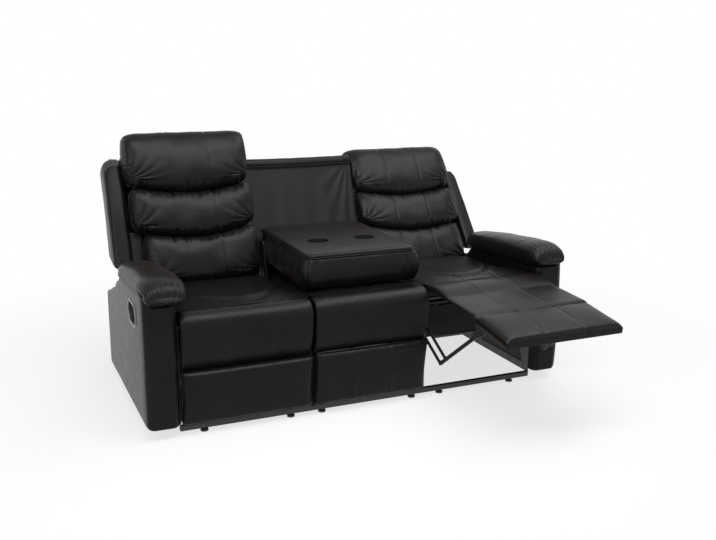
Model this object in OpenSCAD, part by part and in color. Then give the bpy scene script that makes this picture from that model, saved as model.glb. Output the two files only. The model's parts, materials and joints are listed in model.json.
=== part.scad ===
// Three-seat reclining sofa with a fold-down centre console.
// X is the viewer's right, -Y the front, +Z up, the floor is Z = 0 and X = 0 is the middle of the sofa.
// Every Y inside the modules is measured from the front plane of the arms; front_y places that plane.
// A left or right piece is drawn on the +X side and mirrored for the left.

/* [Overall] */
// Half of the width over the arms
half_w = 930; // [860:5:1000]
// Depth of the arms
arm_d = 880; // [840:5:940]
// Y of the front plane of the arms, seen from the middle of the footprint
front_y = -272; // [-320:1:-230]
// Clearance left between soft pieces and their neighbours
soft_gap = 0.5; // [0.3:0.1:1]
// Running clearance of the pins, on the radius
pin_gap = 0.05; // [0.03:0.01:0.1]

/* [Arms] */
// Thickness of an arm
arm_w = 132; // [124:1:140]
// Height of the arm body at its front
arm_h = 532; // [522:1:545]
// How far the arm's top falls over the length of its pad
arm_fall = 32; // [20:1:40]
// How far the arm's top falls in all to its rear edge
arm_rear_fall = 147; // [140:1:190]
// Height of the lower edge above the floor
floor_gap = 43; // [38:1:48]
// Thickness of the arm's boards
arm_wall = 15; // [10:1:20]
// Radius of the arm's upright front edges
arm_round = 26; // [16:1:40]
// Length of the arm pad
pad_l = 604; // [560:2:610]
// How far the pad stands out in front of the arm
pad_over = 26; // [10:1:40]
// Width of the arm pad
pad_w = 178; // [150:1:190]
// Thickness of the arm pad
pad_t = 104; // [80:1:116]
// Thickness of the arm pad at its rear end
pad_rear_t = 50; // [26:1:60]

/* [Release handles] */
// Length of the oval handle cup
cup_l = 150; // [130:1:180]
// Height of the oval handle cup
cup_h = 84; // [74:1:96]
// Depth of the handle cup
cup_d = 34; // [28:1:44]
// Distance of the handle behind the arm front
cup_y = 205; // [170:1:260]
// Distance of the handle's middle below the arm's front height
cup_drop = 70; // [64:1:100]
// Thickness of the pull
pull_t = 6; // [4:0.5:8]

/* [Seats] */
// Half of the middle seat's width
mid_half = 251; // [235:1:270]
// Gap between two seats, where the console brackets stand
seat_slot = 6.5; // [6:0.5:8]
// Seat height at the front roll
seat_h = 495; // [480:1:505]
// Height of the underside of the seat cushions
seat_base_h = 381; // [381:0.5:386]
// Y of the rear end of the seat cushions
seat_rear = 566; // [540:1:572]
// Height of the seam between the upper and the lower front panel
seam_h = 262; // [255:1:270]
// Radius of the front roll of the seat
roll_r = 60; // [54:1:62]
// Y of the axis of the front roll
roll_y = 45; // [42:1:50]
// Thickness of the boards of a seat box
board_t = 18; // [12:1:22]

/* [Footrests] */
// Length of the footrest panel
foot_l = 222; // [205:1:226]
// Thickness of the footrest panel with its board
foot_t = 40; // [34:1:44]
// Thickness of the footrest board
foot_board_t = 10; // [8:0.5:14]
// Length of the flap from the roll's axis to the crease
flap_l = 400; // [390:1:404]
// Length of the thick part of the flap
flap_pad_l = 158; // [130:1:160]
// Thickness of the flap beside the roll
flap_t = 34; // [28:1:36]
// Thickness of the folding web between flap and footrest
web_t = 10; // [6:0.5:12]
// How far the left footrest is out, in percent
left_out = 0; // [0:1:100]
// How far the right footrest is out, in percent
right_out = 100; // [0:1:100]

/* [Linkage] */
// Length of the drive and stay links between their pivots
link_l = 290; // [285:1:296]
// Width of a link bar
link_w = 16; // [14:0.5:17]
// Thickness of the link bars and side plates
link_t = 4; // [3:0.5:5]
// Y of the drive link's pivot
link_y = 125; // [120:1:132]
// Height of the drive link's pivot
link_z = 358; // [352:1:359]
// Distance between the drive and the stay link's pivots
stay_gap = 55; // [50:1:60]
// Depth of the footrest pivot behind the face of the footrest
foot_pivot_d = 93; // [88:1:98]
// Radius of the pivot studs
stud_r = 5; // [4:0.5:6]

/* [Backs] */
// Lean of an upright back from the vertical
lean = 24; // [20:1:26]
// How far the left back is reclined
left_recline = 0; // [0:0.5:20]
// How far the right back is reclined
right_recline = 15.5; // [0:0.5:20]
// Y of the recline axis
recline_y = 440; // [430:1:446]
// Height of the recline axis
recline_z = 352; // [348:1:354]
// Y of the foot of the backs
back_y = 620; // [615:1:635]
// Height of the foot of the backs
back_z = 340; // [330:1:350]
// Length of a back from its foot to the top of its shell
back_l = 700; // [680:5:720]
// Height of the head pillow's top along the back
pillow_top = 776; // [760:2:790]
// Heights along the back of the seams under the head pillow and under the middle bolster
seam_head = 540; // [520:2:560]
seam_mid = 345; // [330:2:370]
// Height along the back of the lumbar bolster's lower edge
lumbar_low = 140; // [134:1:160]
// Thickness of a back frame
back_frame_t = 40; // [34:1:44]
// Distance of the rear face behind the foot line
shell_y = 90; // [80:1:95]
// How far the bolsters stand in front of the foot line
bolster_y = 138; // [125:1:142]
// Inner edge of a reclining back
back_in = 288; // [286:1:292]
// How far the head pillow reaches over the arm
pillow_over = 36; // [2:1:38]
// How far the wing stays inside the arm's outer face
wing_inset = 8; // [0:1:20]
// Width of the wing
wing_w = 84; // [70:1:85]

/* [Console] */
// Length of the console
console_l = 632; // [600:2:640]
// Distance of its front edge behind the arm front
console_y = 111; // [105:1:130]
// Height of the table face
console_h = 655; // [650:1:665]
// Thickness of the table pad
table_t = 62.5; // [58:0.5:66]
// Thickness of the console
console_t = 158; // [140:1:159]
// Thickness of the console's core board
core_t = 30; // [26:1:34]
// Distance of the pivot from the rear end
console_back = 70; // [64:1:76]
// Radius of the console's pins
console_pin_r = 8; // [6:0.5:9]
// Inner radius of a cup holder
holder_r = 43; // [38:0.5:48]
// Distance of a cup holder from the middle
holder_x = 108; // [100:1:116]
// Distance of the cup holders behind the arm front
holder_y = 345; // [320:1:380]

/* [Floor frame] */
// Height of the glides
glide_h = 14; // [12:1:16]
// Radius of the glides
glide_r = 16; // [12:1:20]
// Size of the floor rails' square tube
rail_s = 20; // [18:1:22]
// Wall of the floor rails
rail_wall = 2; // [1.5:0.5:3]
// Y of the front floor rail
rail_front_y = 50; // [46:1:54]
// Y of the rear floor rail
rail_rear_y = 742; // [730:1:750]

/* [Hidden] */
$fn = 40;
LEFT = -1;
RIGHT = 1;
leather = "#2b2a2b";
leather_lit = "#343334";
steel = "#17181a";
timber = "#b08a5a";
plastic = "#1c1c1e";
lining = "#242325";

// Overrun of every cut
cut = 1;
// Heights that follow the arm's
arm_mid_h = arm_h - arm_fall;
arm_rear_h = arm_h - arm_rear_fall;
cup_z = arm_h - cup_drop;
// Seat bays: the arm's inner face and the slot beside the middle seat
bay_in = mid_half + seat_slot;
bay_out = half_w - arm_w;
bay_mid = (bay_in + bay_out) / 2;
pillow_out = bay_out + pillow_over;
wing_out = half_w - wing_inset;
// Planes of the mechanism, counted inwards from the side of a bay
play = 3;
flap_x = link_t + play;
link_x = link_t + play;
lift_x = link_x + link_t + play;
head_t = 2;
head_r = stud_r + play;
boss_rim = 2;
boss_r = link_w / 2 + boss_rim;
box_x = lift_x + link_t + head_t + play;
rail_top = glide_h + rail_s;
foot_gap = 2;
// Angles of the footrest and the flap, closed and open, in the YZ plane
foot_closed = 278;
foot_turn = 90;
flap_closed = 283;
flap_turn = 100;
roll_axis = [roll_y, seat_h - roll_r];
recline_axis = [recline_y, recline_z];
link_axis = [link_y, link_z];

// Unit vector at an angle in the YZ plane, and the outward normal of a panel that runs that way
function dir(a) = [cos(a), sin(a)];
function face_out(a) = [sin(a), -cos(a)];
// Places of the crease, closed and open
roll_front = roll_axis + roll_r * face_out(flap_closed);
crease_closed = [
  roll_front[0] - (roll_front[1] - seam_h) / tan(flap_closed) - foot_t - foot_gap,
  seam_h,
];
flap_open = flap_closed - flap_turn;
crease_open = roll_axis + (flap_l + 2 * soft_gap) * dir(flap_open) + roll_r * face_out(flap_open);
// The footrest pivot, closed and open, and the chord that it travels
pivot_closed = crease_closed - foot_pivot_d * face_out(foot_closed);
pivot_open = crease_open - foot_pivot_d * face_out(foot_closed - foot_turn);
chord = pivot_open - pivot_closed;
half_turn = asin(norm(chord) / 2 / link_l);
chord_up = [chord[1], -chord[0]] / norm(chord);
elbow_closed = link_axis - link_l * cos(half_turn) * chord_up - chord / 2;
drive_closed = atan2(elbow_closed[1] - link_axis[1], elbow_closed[0] - link_axis[0]);
lift_vector = pivot_closed - elbow_closed;
stay_vector = -stay_gap * lift_vector / norm(lift_vector);
// Places along the travel, where t is 0 closed and 1 open
function drive_angle(t) = drive_closed - 2 * half_turn * t;
function elbow(t) = link_axis + link_l * dir(drive_angle(t));
function foot_pivot(t) = elbow(t) + lift_vector;
function foot_angle(t) = foot_closed - foot_turn * t;
function flap_angle(t) = flap_closed - flap_turn * t;
function crease(t) = foot_pivot(t) + foot_pivot_d * face_out(foot_angle(t));
echo(drive_turn = 2 * half_turn, elbow_closed = elbow(0), elbow_open = elbow(1));
echo(pivot_closed = foot_pivot(0), pivot_open = foot_pivot(1), roll_axis = roll_axis);
echo(stay_axis = link_axis + stay_vector, console_axis = console_axis);

function out(side) = (side < 0 ? left_out : right_out) / 100;
function recline(side) = side < 0 ? left_recline : right_recline;

// Places a piece: the arms' front plane at front_y, and the left pieces mirrored
module placed(side = RIGHT) {
  translate([0, front_y, 0]) {
    if (side < 0) mirror([1, 0, 0]) children();
    else children();
  }
}

// A piece on both sides of a seat bay
module both_ends() {
  children();
  translate([2 * bay_mid, 0, 0]) mirror([1, 0, 0]) children();
}

// Both sides of the middle of the sofa
module both_halves() {
  children();
  mirror([1, 0, 0]) children();
}

// A flat shape drawn in Y and Z, from x to x + t
module slab(x, t) {
  translate([x, 0, 0]) rotate([90, 0, 90]) linear_extrude(t) children();
}

// A round rod along X at p, which is a Y and a Z
module rod(x, p, r, l) {
  translate([x, p[0], p[1]]) rotate([0, 90, 0]) cylinder(r = r, h = l);
}

// Turns what is drawn in its upright place about the recline axis
module reclined(angle) {
  translate([0, recline_y, recline_z]) rotate([-angle, 0, 0])
    translate([0, -recline_y, -recline_z]) children();
}

// Moves a back's own frame, with its foot at the origin, to its place
module leaned(angle = 0) {
  reclined(angle) translate([0, back_y, back_z]) rotate([-lean, 0, 0]) children();
}

// A link bar from p to q
module bar(p, q, w) {
  d = q - p;
  translate(p) rotate(atan2(d[1], d[0])) translate([0, -w / 2]) square([norm(d), w]);
  translate(p) circle(r = boss_r);
  translate(q) circle(r = boss_r);
}

// A rectangle with round corners
module round_rect(size, r) {
  translate([r, 0]) square([size[0] - 2 * r, size[1]]);
  translate([0, r]) square([size[0], size[1] - 2 * r]);
  for (x = [r, size[0] - r], y = [r, size[1] - r]) translate([x, y]) circle(r = r);
}

// A stadium shape, centred
module stadium(l, h) {
  square([l - h, h], center = true);
  for (s = [-1, 1]) translate([s * (l - h) / 2, 0]) circle(d = h);
}

// A closed skin through rings of equal count, as triangles; flip is for rings that run the other way
module loft(rings, flip = false) {
  n = len(rings[0]);
  m = len(rings);
  points = [for (r = rings) each flip ? [for (j = [n - 1 : -1 : 0]) r[j]] : r];
  last = (m - 1) * n;
  faces = concat(
    [for (i = [0 : m - 2], j = [0 : n - 1])
      each [
        [i * n + j, (i + 1) * n + (j + 1) % n, i * n + (j + 1) % n],
        [i * n + j, (i + 1) * n + j, (i + 1) * n + (j + 1) % n],
      ]],
    [for (j = [1 : n - 2]) [0, j, j + 1]],
    [for (j = [1 : n - 2]) [last, last + j + 1, last + j]]
  );
  polyhedron(points, faces, convexity = 6);
}

function bent(v, e) = sign(v) * pow(abs(v), e);
// The unit outline of a padded cross-section, e is its squareness
function unit_oval(n, e) = [for (k = [0 : n - 1]) let (a = 360 * (k + 0.5) / n)
  [bent(cos(a), e), bent(sin(a), e)]];
// Swelling along a pillow: 1 in the middle, end at its ends
function swell(u, end, power = 6) = end + (1 - end) * sqrt(1 - pow(abs(u), power));
// The two stitched lines that cross each pad, at a third and two thirds of its width
seam_dip = 3;
function stitched(u) = abs(abs(u) - 1 / 3) < 0.01 ? seam_dip : 0;

// Middle and half width of the bolsters' seams, which sag between their ends
back_mid = (back_in + pillow_out) / 2;
back_half = (pillow_out - back_in) / 2;
// A bolster along X, in a back's frame: x, y and z are its extents
// sag is how far its lower and upper seams hang in the middle
module bolster(x, y, z, sag = [0, 0], end = 0.6, squareness = 0.6, steps = 12, sides = 14) {
  reach = bent(cos(180 / sides), squareness);
  loft([for (k = [0 : steps]) let (
      u = -1 + 2 * k / steps, s = swell(u, end),
      px = (x[0] + x[1]) / 2 + u * (x[1] - x[0]) / 2, q = 1 - pow((px - back_mid) / back_half, 2),
      low = z[0] - sag[0] * q, high = z[1] - sag[1] * q
    )
    [for (p = unit_oval(sides, squareness)) [
      px,
      y[1] - (y[1] - y[0] - stitched(u)) * s * (1 - p[0] / reach) / 2,
      (low + high) / 2 + p[1] * (high - low) / 2 * (1 + s) / 2,
    ]]]);
}

// A flat pad with a crowned face: u runs along it, v out of its face, from point o at angle a
function panel_pt(o, a, u, v) = o + u * dir(a) + v * face_out(a);
module panel_pad(o, a, x, u, v, crown, pull = 6, edge = 0.6, steps = 12, rows = 6, valleys = []) {
  hx = (x[1] - x[0]) / 2;
  hu = (u[1] - u[0]) / 2;
  rise = v[1] - v[0];
  loft([for (k = [0 : steps]) let (s = -1 + 2 * k / steps)
    concat(
      [for (j = [0 : rows]) let (
          t = -1 + 2 * j / rows,
          round = sqrt((1 - pow(abs(t), 8)) * (1 - pow(abs(s), 8))),
          dip = stitched(s) + (len([for (w = valleys) if (w == j) w]) > 0 ? 4 * seam_dip : 0),
          p = panel_pt(o, a,
            (u[0] + u[1]) / 2 + t * (hu - pull * (1 - s * s)),
            v[0] + rise * (edge + (1 - edge) * round) + (crown * (1 - t * t) - dip) * (1 - pow(s, 4)))
        )
        [(x[0] + x[1]) / 2 + s * (hx - pull * (1 - t * t)), p[0], p[1]]],
      [for (j = [rows : -1 : 0]) let (
          t = -1 + 2 * j / rows,
          p = panel_pt(o, a, (u[0] + u[1]) / 2 + t * (hu - pull * (1 - s * s)), v[0])
        )
        [(x[0] + x[1]) / 2 + s * (hx - pull * (1 - t * t)), p[0], p[1]]]
    )]);
}

// Flat shapes in a panel's own frame
module on_panel(o, a) {
  translate(o) rotate(a) mirror([0, 1]) children();
}

// A point in an upright back's frame, as Y and Z
function lean_pt(y, z) = [back_y, back_z] + [y * cos(lean) + z * sin(lean), z * cos(lean) - y * sin(lean)];

// ARMS
arm_bow = 8;
arm_steps = 8;
pad_end = pad_l - pad_over;
arm_sink = 76;
// The arm's top edge, which falls towards the rear
function arm_top(y) = arm_h + (arm_mid_h - arm_h) * y / pad_end;
// Outline of an arm in Y and Z, drawn in by inset
function arm_outline(inset) = concat(
  [for (k = [0 : arm_steps]) let (t = k / arm_steps)
    [arm_bow * pow(2 * t - 1, 2) + inset, floor_gap + inset + t * (arm_h - floor_gap - 2 * inset)]],
  [[pad_end - inset / 2, arm_mid_h - inset], [pad_end + arm_sink / 2, arm_mid_h - arm_sink / 2 - inset],
   [arm_d - inset, arm_rear_h - inset], [arm_d - inset, floor_gap + inset]]
);

module arm_body(side) {
  color(leather) placed(side) difference() {
    intersection() {
      slab(half_w - arm_w, arm_w) polygon(arm_outline(0));
      translate([half_w - arm_w, 0, 0]) linear_extrude(arm_h) round_rect([arm_w, arm_d], arm_round);
    }
    slab(half_w - arm_w + arm_wall, arm_w - 2 * arm_wall) polygon(arm_outline(arm_wall));
    slab(half_w - arm_wall - cut, arm_wall + 2 * cut) translate([cup_y, cup_z]) stadium(cup_l, cup_h);
  }
}

pad_hang = 4;
pad_mid = half_w - pad_w / 2 + pad_hang;
pad_pull = 3;
nose_share = 0.16;
// Thickness of the pad at station t, 0 at its nose and 1 at its rear end, as a share of pad_t
function pad_rise(t) = (1 - (1 - pad_rear_t / pad_t) * pow(t, 2.4)) *
  (t < nose_share ? 0.35 + 0.65 * sqrt(1 - pow(1 - t / nose_share, 2)) : 1);
function pad_girth(t) = t < nose_share ? 0.62 + 0.38 * sqrt(1 - pow(1 - t / nose_share, 2))
  : t > 0.75 ? 1 - 0.5 * pow((t - 0.75) * 4, 2) : 1;
module arm_pad(side) {
  steps = 18;
  sides = 14;
  color(leather_lit) placed(side)
    loft([for (k = [0 : steps]) let (
        t = k / steps, y = -pad_over + pad_l * t, low = arm_top(max(y, 0)) + soft_gap
      )
      [for (p = unit_oval(sides, 0.66)) [
        pad_mid + p[0] * (pad_w / 2 - pad_pull * (k % 2)) * pad_girth(t), y,
        low + max(0, p[1] + 0.9) / 1.9 * pad_t * pad_rise(t),
      ]]], flip = true);
}

// RELEASE HANDLES
cup_wall = 3;
cup_flange = 5;
cup_flange_t = 2;
pull_pin_r = 3;
pull_pin_y = cup_y - (cup_l - cup_h) / 2;
pull_h = cup_h * 0.6;
pull_reach = cup_l * 0.6;
pull_x = half_w - cup_d / 2;
module handle_cup(side) {
  color(plastic) placed(side) {
    difference() {
      union() {
        slab(half_w - cup_d, cup_d) translate([cup_y, cup_z])
          stadium(cup_l - 2 * soft_gap, cup_h - 2 * soft_gap);
        slab(half_w, cup_flange_t) translate([cup_y, cup_z])
          stadium(cup_l + 2 * cup_flange, cup_h + 2 * cup_flange);
      }
      slab(half_w - cup_d + cup_wall, cup_d + cut) translate([cup_y, cup_z])
        stadium(cup_l - 2 * cup_wall, cup_h - 2 * cup_wall);
    }
    translate([pull_x, pull_pin_y, cup_z - cup_h / 2 + cup_wall / 2])
      cylinder(r = pull_pin_r, h = cup_h - cup_wall);
  }
}

module release_pull(side) {
  lip = pull_t * 1.5;
  color(plastic) placed(side) difference() {
    union() {
      translate([pull_x, pull_pin_y, cup_z - pull_h / 2]) cylinder(r = pull_pin_r + pull_t / 2, h = pull_h);
      translate([pull_x - pull_t / 2, pull_pin_y, cup_z - pull_h / 2]) cube([pull_t, pull_reach, pull_h]);
      translate([pull_x - pull_t / 2, pull_pin_y + pull_reach - pull_t, cup_z - pull_h / 2])
        cube([lip, pull_t, pull_h]);
    }
    translate([pull_x, pull_pin_y, cup_z - pull_h / 2 - cut])
      cylinder(r = pull_pin_r + pin_gap, h = pull_h + 2 * cut);
  }
}

// FLOOR FRAME
glide_xs_shares = [0.88, 0.43, 0.26];
rail_half = bay_out;
module floor_rails() {
  color(steel) placed() for (y = [rail_front_y, rail_rear_y]) difference() {
    slab(-rail_half, 2 * rail_half) translate([y - rail_s / 2, glide_h]) square(rail_s);
    slab(-rail_half - cut, 2 * rail_half + 2 * cut)
      translate([y - rail_s / 2 + rail_wall, glide_h + rail_wall]) square(rail_s - 2 * rail_wall);
  }
}

module floor_glides() {
  color(steel) placed() both_halves()
    for (share = glide_xs_shares, y = [rail_front_y, rail_rear_y])
      translate([share * rail_half, y, 0]) {
        cylinder(r = glide_r, h = glide_h / 2);
        cylinder(r = glide_r * 0.4, h = glide_h);
      }
}

// SEAT BASES
flange_w = box_x + board_t - link_t;
flange_t = 3;
flange_top = seat_base_h - soft_gap;
box_top = flange_top - flange_t;
box_low = 240;
box_front = roll_y + roll_r + play;
box_rear = 640;
side_box_rear = box_rear - 2 * board_t;
plate_strip = 34;
hinge_pin_r = 7;
roll_pin_r = 6;
tube_r = 12;
tube_ys = [450, 560];

module side_plate_outline() {
  strip_front = rail_front_y - rail_s / 2;
  strip_rear = rail_rear_y + rail_s / 2;
  translate([strip_front, rail_top]) square([strip_rear - strip_front, plate_strip]);
  // Front post, which carries the roll's rod and the links
  polygon([[strip_front, rail_top], [strip_front + plate_strip, rail_top],
    link_axis + stay_vector + [boss_r, -boss_r], [link_y + stay_gap + boss_r, flange_top - plate_strip / 2],
    [link_y + 3 * boss_r, flange_top], [roll_y - boss_r, flange_top]]);
  polygon([
    [roll_y - boss_r, flange_top - plate_strip], [link_y + stay_gap + boss_r, flange_top - plate_strip],
    [link_y + stay_gap, flange_top], roll_axis + [boss_r, boss_r], roll_axis + [-boss_r, boss_r],
  ]);
  // Top bar, which carries the recline axis, and the rear post
  translate([box_front, flange_top - plate_strip])
    square([tube_ys[1] - box_front, plate_strip]);
  // Posts, which carry the tubes under the seat box
  for (y = tube_ys) translate([y - plate_strip / 2, rail_top]) square([plate_strip, flange_top - rail_top]);
}

// Flat plates at both ends of a bay, the studs, rod and tubes that sit in them, and the flanges beside them
module side_plates(side) {
  studs = [link_axis, link_axis + stay_vector];
  tubes = [for (y = tube_ys) [y, box_low - tube_r]];
  color(steel) placed(side) {
    both_ends() {
      slab(bay_in, link_t) difference() {
        side_plate_outline();
        for (p = studs) translate(p) circle(r = stud_r + pin_gap);
        translate(recline_axis) circle(r = hinge_pin_r + pin_gap);
        translate(roll_axis) circle(r = roll_pin_r + pin_gap);
        for (p = tubes) translate(p) circle(r = tube_r + pin_gap);
      }
      translate([bay_in + link_t + pin_gap, box_front, box_top])
        cube([flange_w, tube_ys[1] - box_front, flange_t]);
      for (p = studs) {
        rod(bay_in, p, stud_r, link_x + link_t + head_t);
        rod(bay_in + link_x + link_t + pin_gap, p, head_r, head_t);
      }
      rod(bay_in, recline_axis, hinge_pin_r, link_x + link_t + head_t);
      rod(bay_in + link_x + link_t + pin_gap, recline_axis, hinge_pin_r + play, head_t);
    }
    rod(bay_in, roll_axis, roll_pin_r, bay_out - bay_in);
    for (p = tubes) rod(bay_in, p, tube_r, bay_out - bay_in);
  }
}

// A wooden tray from x0 to x1, with a thin floor
module tray(x0, x1, front, rear, low, high) {
  tray_floor = 4;
  difference() {
    translate([x0, front, low]) cube([x1 - x0, rear - front, high - low]);
    translate([x0 + board_t, front + board_t, low + tray_floor])
      cube([x1 - x0 - 2 * board_t, rear - front - 2 * board_t, high - low]);
  }
}

module seat_box(side) {
  color(timber) placed(side)
    tray(bay_in + box_x, bay_out - box_x, box_front, side_box_rear, box_low, box_top);
}

// The boards behind the fixed front panels of the middle seat, and the cheeks that carry them
upper_board_v = roll_r - flap_t - soft_gap - foot_board_t;
module middle_cheek() {
  polygon([
    [rail_front_y - rail_s / 2, rail_top],
    [rail_rear_y + rail_s / 2, rail_top],
    [rail_rear_y + rail_s / 2, box_low + board_t],
    [box_front, box_low + board_t],
    [box_front, box_top],
    panel_pt(roll_axis, flap_closed, roll_r + 2 * board_t, upper_board_v + foot_board_t / 2),
    panel_pt(roll_axis, flap_closed, flap_pad_l - 2 * foot_board_t, upper_board_v + foot_board_t / 2),
    panel_pt(roll_axis, flap_closed, flap_pad_l, upper_board_v),
    panel_pt(crease_closed, foot_closed, 2 * foot_board_t, foot_board_t / 2 - foot_t),
    panel_pt(crease_closed, foot_closed, foot_l - 2 * foot_board_t, foot_board_t / 2 - foot_t),
  ]);
}

module middle_seat_box() {
  color(timber) placed() {
    tray(-mid_half, mid_half, box_front, box_rear, box_low, box_top);
    for (x = [-mid_half, mid_half - board_t]) slab(x, board_t) middle_cheek();
    slab(-mid_half, 2 * mid_half) {
      on_panel(roll_axis, flap_closed) translate([roll_r + board_t, upper_board_v])
        square([flap_pad_l - foot_board_t - roll_r - board_t, foot_board_t]);
      on_panel(crease_closed, foot_closed) translate([foot_board_t, -foot_t])
        square([foot_l - 2 * foot_board_t, foot_board_t]);
    }
  }
}

spring_w = 4;
spring_waves = 9;
spring_amp = 24;
springs_per_seat = 4;
// A zigzag spring seen from above, from the front wall of a tray to the rear one
module zigzag(rear) {
  front = box_front + board_t / 2;
  pitch = (rear - board_t / 2 - front) / spring_waves / 2;
  sway = [for (k = [0 : 2 * spring_waves]) [k % 2 == 0 ? -spring_amp : spring_amp, front + k * pitch]];
  linear_extrude(flange_t) polygon(concat(
    [for (p = sway) p - [spring_w / 2, 0]],
    [for (k = [2 * spring_waves : -1 : 0]) sway[k] + [spring_w / 2, 0]]
  ));
}

module seat_springs() {
  edge = board_t + spring_amp + spring_w;
  color(steel) placed()
    for (c = [-bay_mid, 0, bay_mid], k = [0 : springs_per_seat - 1])
      let (half = c == 0 ? mid_half : bay_mid - bay_in - box_x)
        translate([c + (k - (springs_per_seat - 1) / 2) * (half - edge) * 2 / springs_per_seat, 0, box_top])
          zigzag(c == 0 ? box_rear : side_box_rear);
}

// SEAT CUSHIONS
seat_dip = 38;
seat_side_drop = 10;
seat_crown = 6;
lip_angle = 66;
// Heights where the rear edge bends, as shares of the cushion's height there
seat_rear_shares = [0.34, 0.75];
// The cushion's top from rear to front, as shares of its depth and of its dip
seat_top_shares = [[0.86, 0.98], [0.66, 0.96], [0.45, 0.78], [0.26, 0.42], [0.12, 0.12], [0.04, 0]];
// Profile of a seat cushion at station u across its width
function seat_ring(x, u) = let (
    r = roll_r + soft_gap,
    rise = (1 - pow(u, 8)) * seat_crown - seat_side_drop * pow(u, 8),
    lip = roll_axis + (r + soft_gap) * dir(lip_angle),
    arc = [for (a = [lip_angle : -10 : -14]) roll_axis + (r + (1 - abs(a) / 90) * soft_gap) * dir(a)],
    base_y = roll_axis[0] + r + soft_gap
  )
  concat(
    [for (q = seat_rear_shares) [x, seat_rear, seat_base_h + q * (seat_h - seat_dip - seat_base_h)]],
    [for (q = seat_top_shares) [x, lip[0] + q[0] * (seat_rear - lip[0]),
      seat_h - seat_dip * q[1] + rise * min(1, q[0] * 4) - stitched(u)]],
    [for (p = arc) [x, p[0], p[1]]],
    [[x, base_y, seat_base_h], [x, seat_rear, seat_base_h]]
  );

module seat_cushion(x0, x1) {
  steps = 12;
  loft([for (k = [0 : steps]) let (u = -1 + 2 * k / steps)
    seat_ring((x0 + x1) / 2 + u * (x1 - x0) / 2, u)]);
}

module side_seat_cushion(side) {
  color(leather) placed(side) seat_cushion(bay_in + link_t + soft_gap, bay_out - link_t - soft_gap);
}

module middle_seat_cushion() {
  color(leather) placed() seat_cushion(-mid_half + soft_gap, mid_half - soft_gap);
}

// FLAPS AND FOOTRESTS
// Turn of the flap's skin round the roll
flap_wrap = 270;
flap_tip_t = 18;
flap_tip_round = 4;
flap_crown = 15;
flap_end = flap_x - soft_gap;
// Profile of a flap: the roll and the padded panel, in the panel's own u and v
function flap_ring(x, s) = let (
    join = sqrt(roll_r * roll_r - pow(roll_r - flap_t, 2)),
    start = atan2(roll_r - flap_t, join),
    round = 1 - pow(s, 6)
  )
  concat(
    [for (t = [0 : 0.2 : 1]) [x, t * flap_pad_l, roll_r - (t == 1 ? flap_tip_round : 0)
      + round * (flap_crown * sin(180 * t) - (t > 0 ? stitched(s) : 0))]],
    [[x, flap_pad_l, roll_r - flap_tip_t], [x, join, roll_r - flap_t]],
    [for (k = [1 : 11]) let (a = start - k * (start + flap_wrap) / 12) [x, roll_r * cos(a), roll_r * sin(a)]]
  );

module flap_pad(side, t, x0, x1, bore) {
  steps = 12;
  a = flap_angle(t);
  color(leather_lit) placed(side) difference() {
    loft([for (k = [0 : steps]) let (s = -1 + 2 * k / steps)
      [for (q = flap_ring((x0 + x1) / 2 + s * (x1 - x0) / 2, s))
        let (p = panel_pt(roll_axis, a, q[1], q[2])) [q[0], p[0], p[1]]]]);
    if (bore) rod(x0 - cut, roll_axis, roll_pin_r + pin_gap, x1 - x0 + 2 * cut);
  }
}

module side_flap_pad(side) {
  flap_pad(side, out(side), bay_in + flap_end, bay_out - flap_end, true);
}

module flap_web(side) {
  color(leather) placed(side)
    slab(bay_in + box_x, bay_out - bay_in - 2 * box_x)
      on_panel(roll_axis, flap_angle(out(side)))
        translate([flap_pad_l + soft_gap, roll_r - web_t - flap_tip_t / 4])
          square([flap_l - flap_pad_l - soft_gap, web_t]);
}

module footrest_board(side) {
  inset = 6;
  color(timber) placed(side)
    slab(bay_in + link_x, bay_out - bay_in - 2 * link_x)
      on_panel(crease(out(side)), foot_angle(out(side)))
        translate([inset, -foot_t]) square([foot_l - 2 * inset, foot_board_t]);
}

foot_crown = 8;
foot_pull = 3;
module footrest_pad(side) {
  color(leather_lit) placed(side)
    panel_pad(crease(out(side)), foot_angle(out(side)), [bay_in + flap_end, bay_out - flap_end],
      [0, foot_l], [foot_board_t - foot_t + soft_gap, 0], foot_crown, foot_pull);
}

module footrest_brackets(side) {
  o = crease(out(side));
  a = foot_angle(out(side));
  hold = 70;
  p = foot_pivot(out(side));
  color(steel) placed(side) both_ends() {
    slab(bay_in + link_x, link_t) on_panel(o, a) {
      polygon([[-boss_r, -foot_pivot_d], [boss_r, -foot_pivot_d], [hold, -foot_t - link_w], [hold, -foot_t],
        [boss_r, -foot_t]]);
      translate([0, -foot_pivot_d]) circle(r = boss_r);
    }
    slab(bay_in + link_x, board_t) on_panel(o, a)
      translate([boss_r + link_t, -foot_t - link_t / 2]) square([hold - 2 * boss_r, link_t / 2]);
    rod(bay_in + link_x, p, stud_r, lift_x - link_x + link_t + head_t);
    rod(bay_in + lift_x + link_t + pin_gap, p, head_r, head_t);
  }
}

// LINKAGE
tube_share = 0.55;
cross_r = 8;
module pierced(p, r) {
  difference() {
    children();
    for (q = p) translate(q) circle(r = r);
  }
}

module drive_links(side) {
  t = out(side);
  p = elbow(t);
  color(steel) placed(side) {
    both_ends() {
      slab(bay_in + link_x, link_t) pierced([link_axis], stud_r + pin_gap) bar(link_axis, p, link_w);
      rod(bay_in + link_x, p, stud_r, lift_x - link_x + link_t + head_t);
      rod(bay_in + lift_x + link_t + pin_gap, p, head_r, head_t);
    }
    rod(bay_in + link_x + link_t / 2, link_axis + tube_share * (p - link_axis), cross_r,
      bay_out - bay_in - 2 * link_x - link_t);
  }
}

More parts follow.
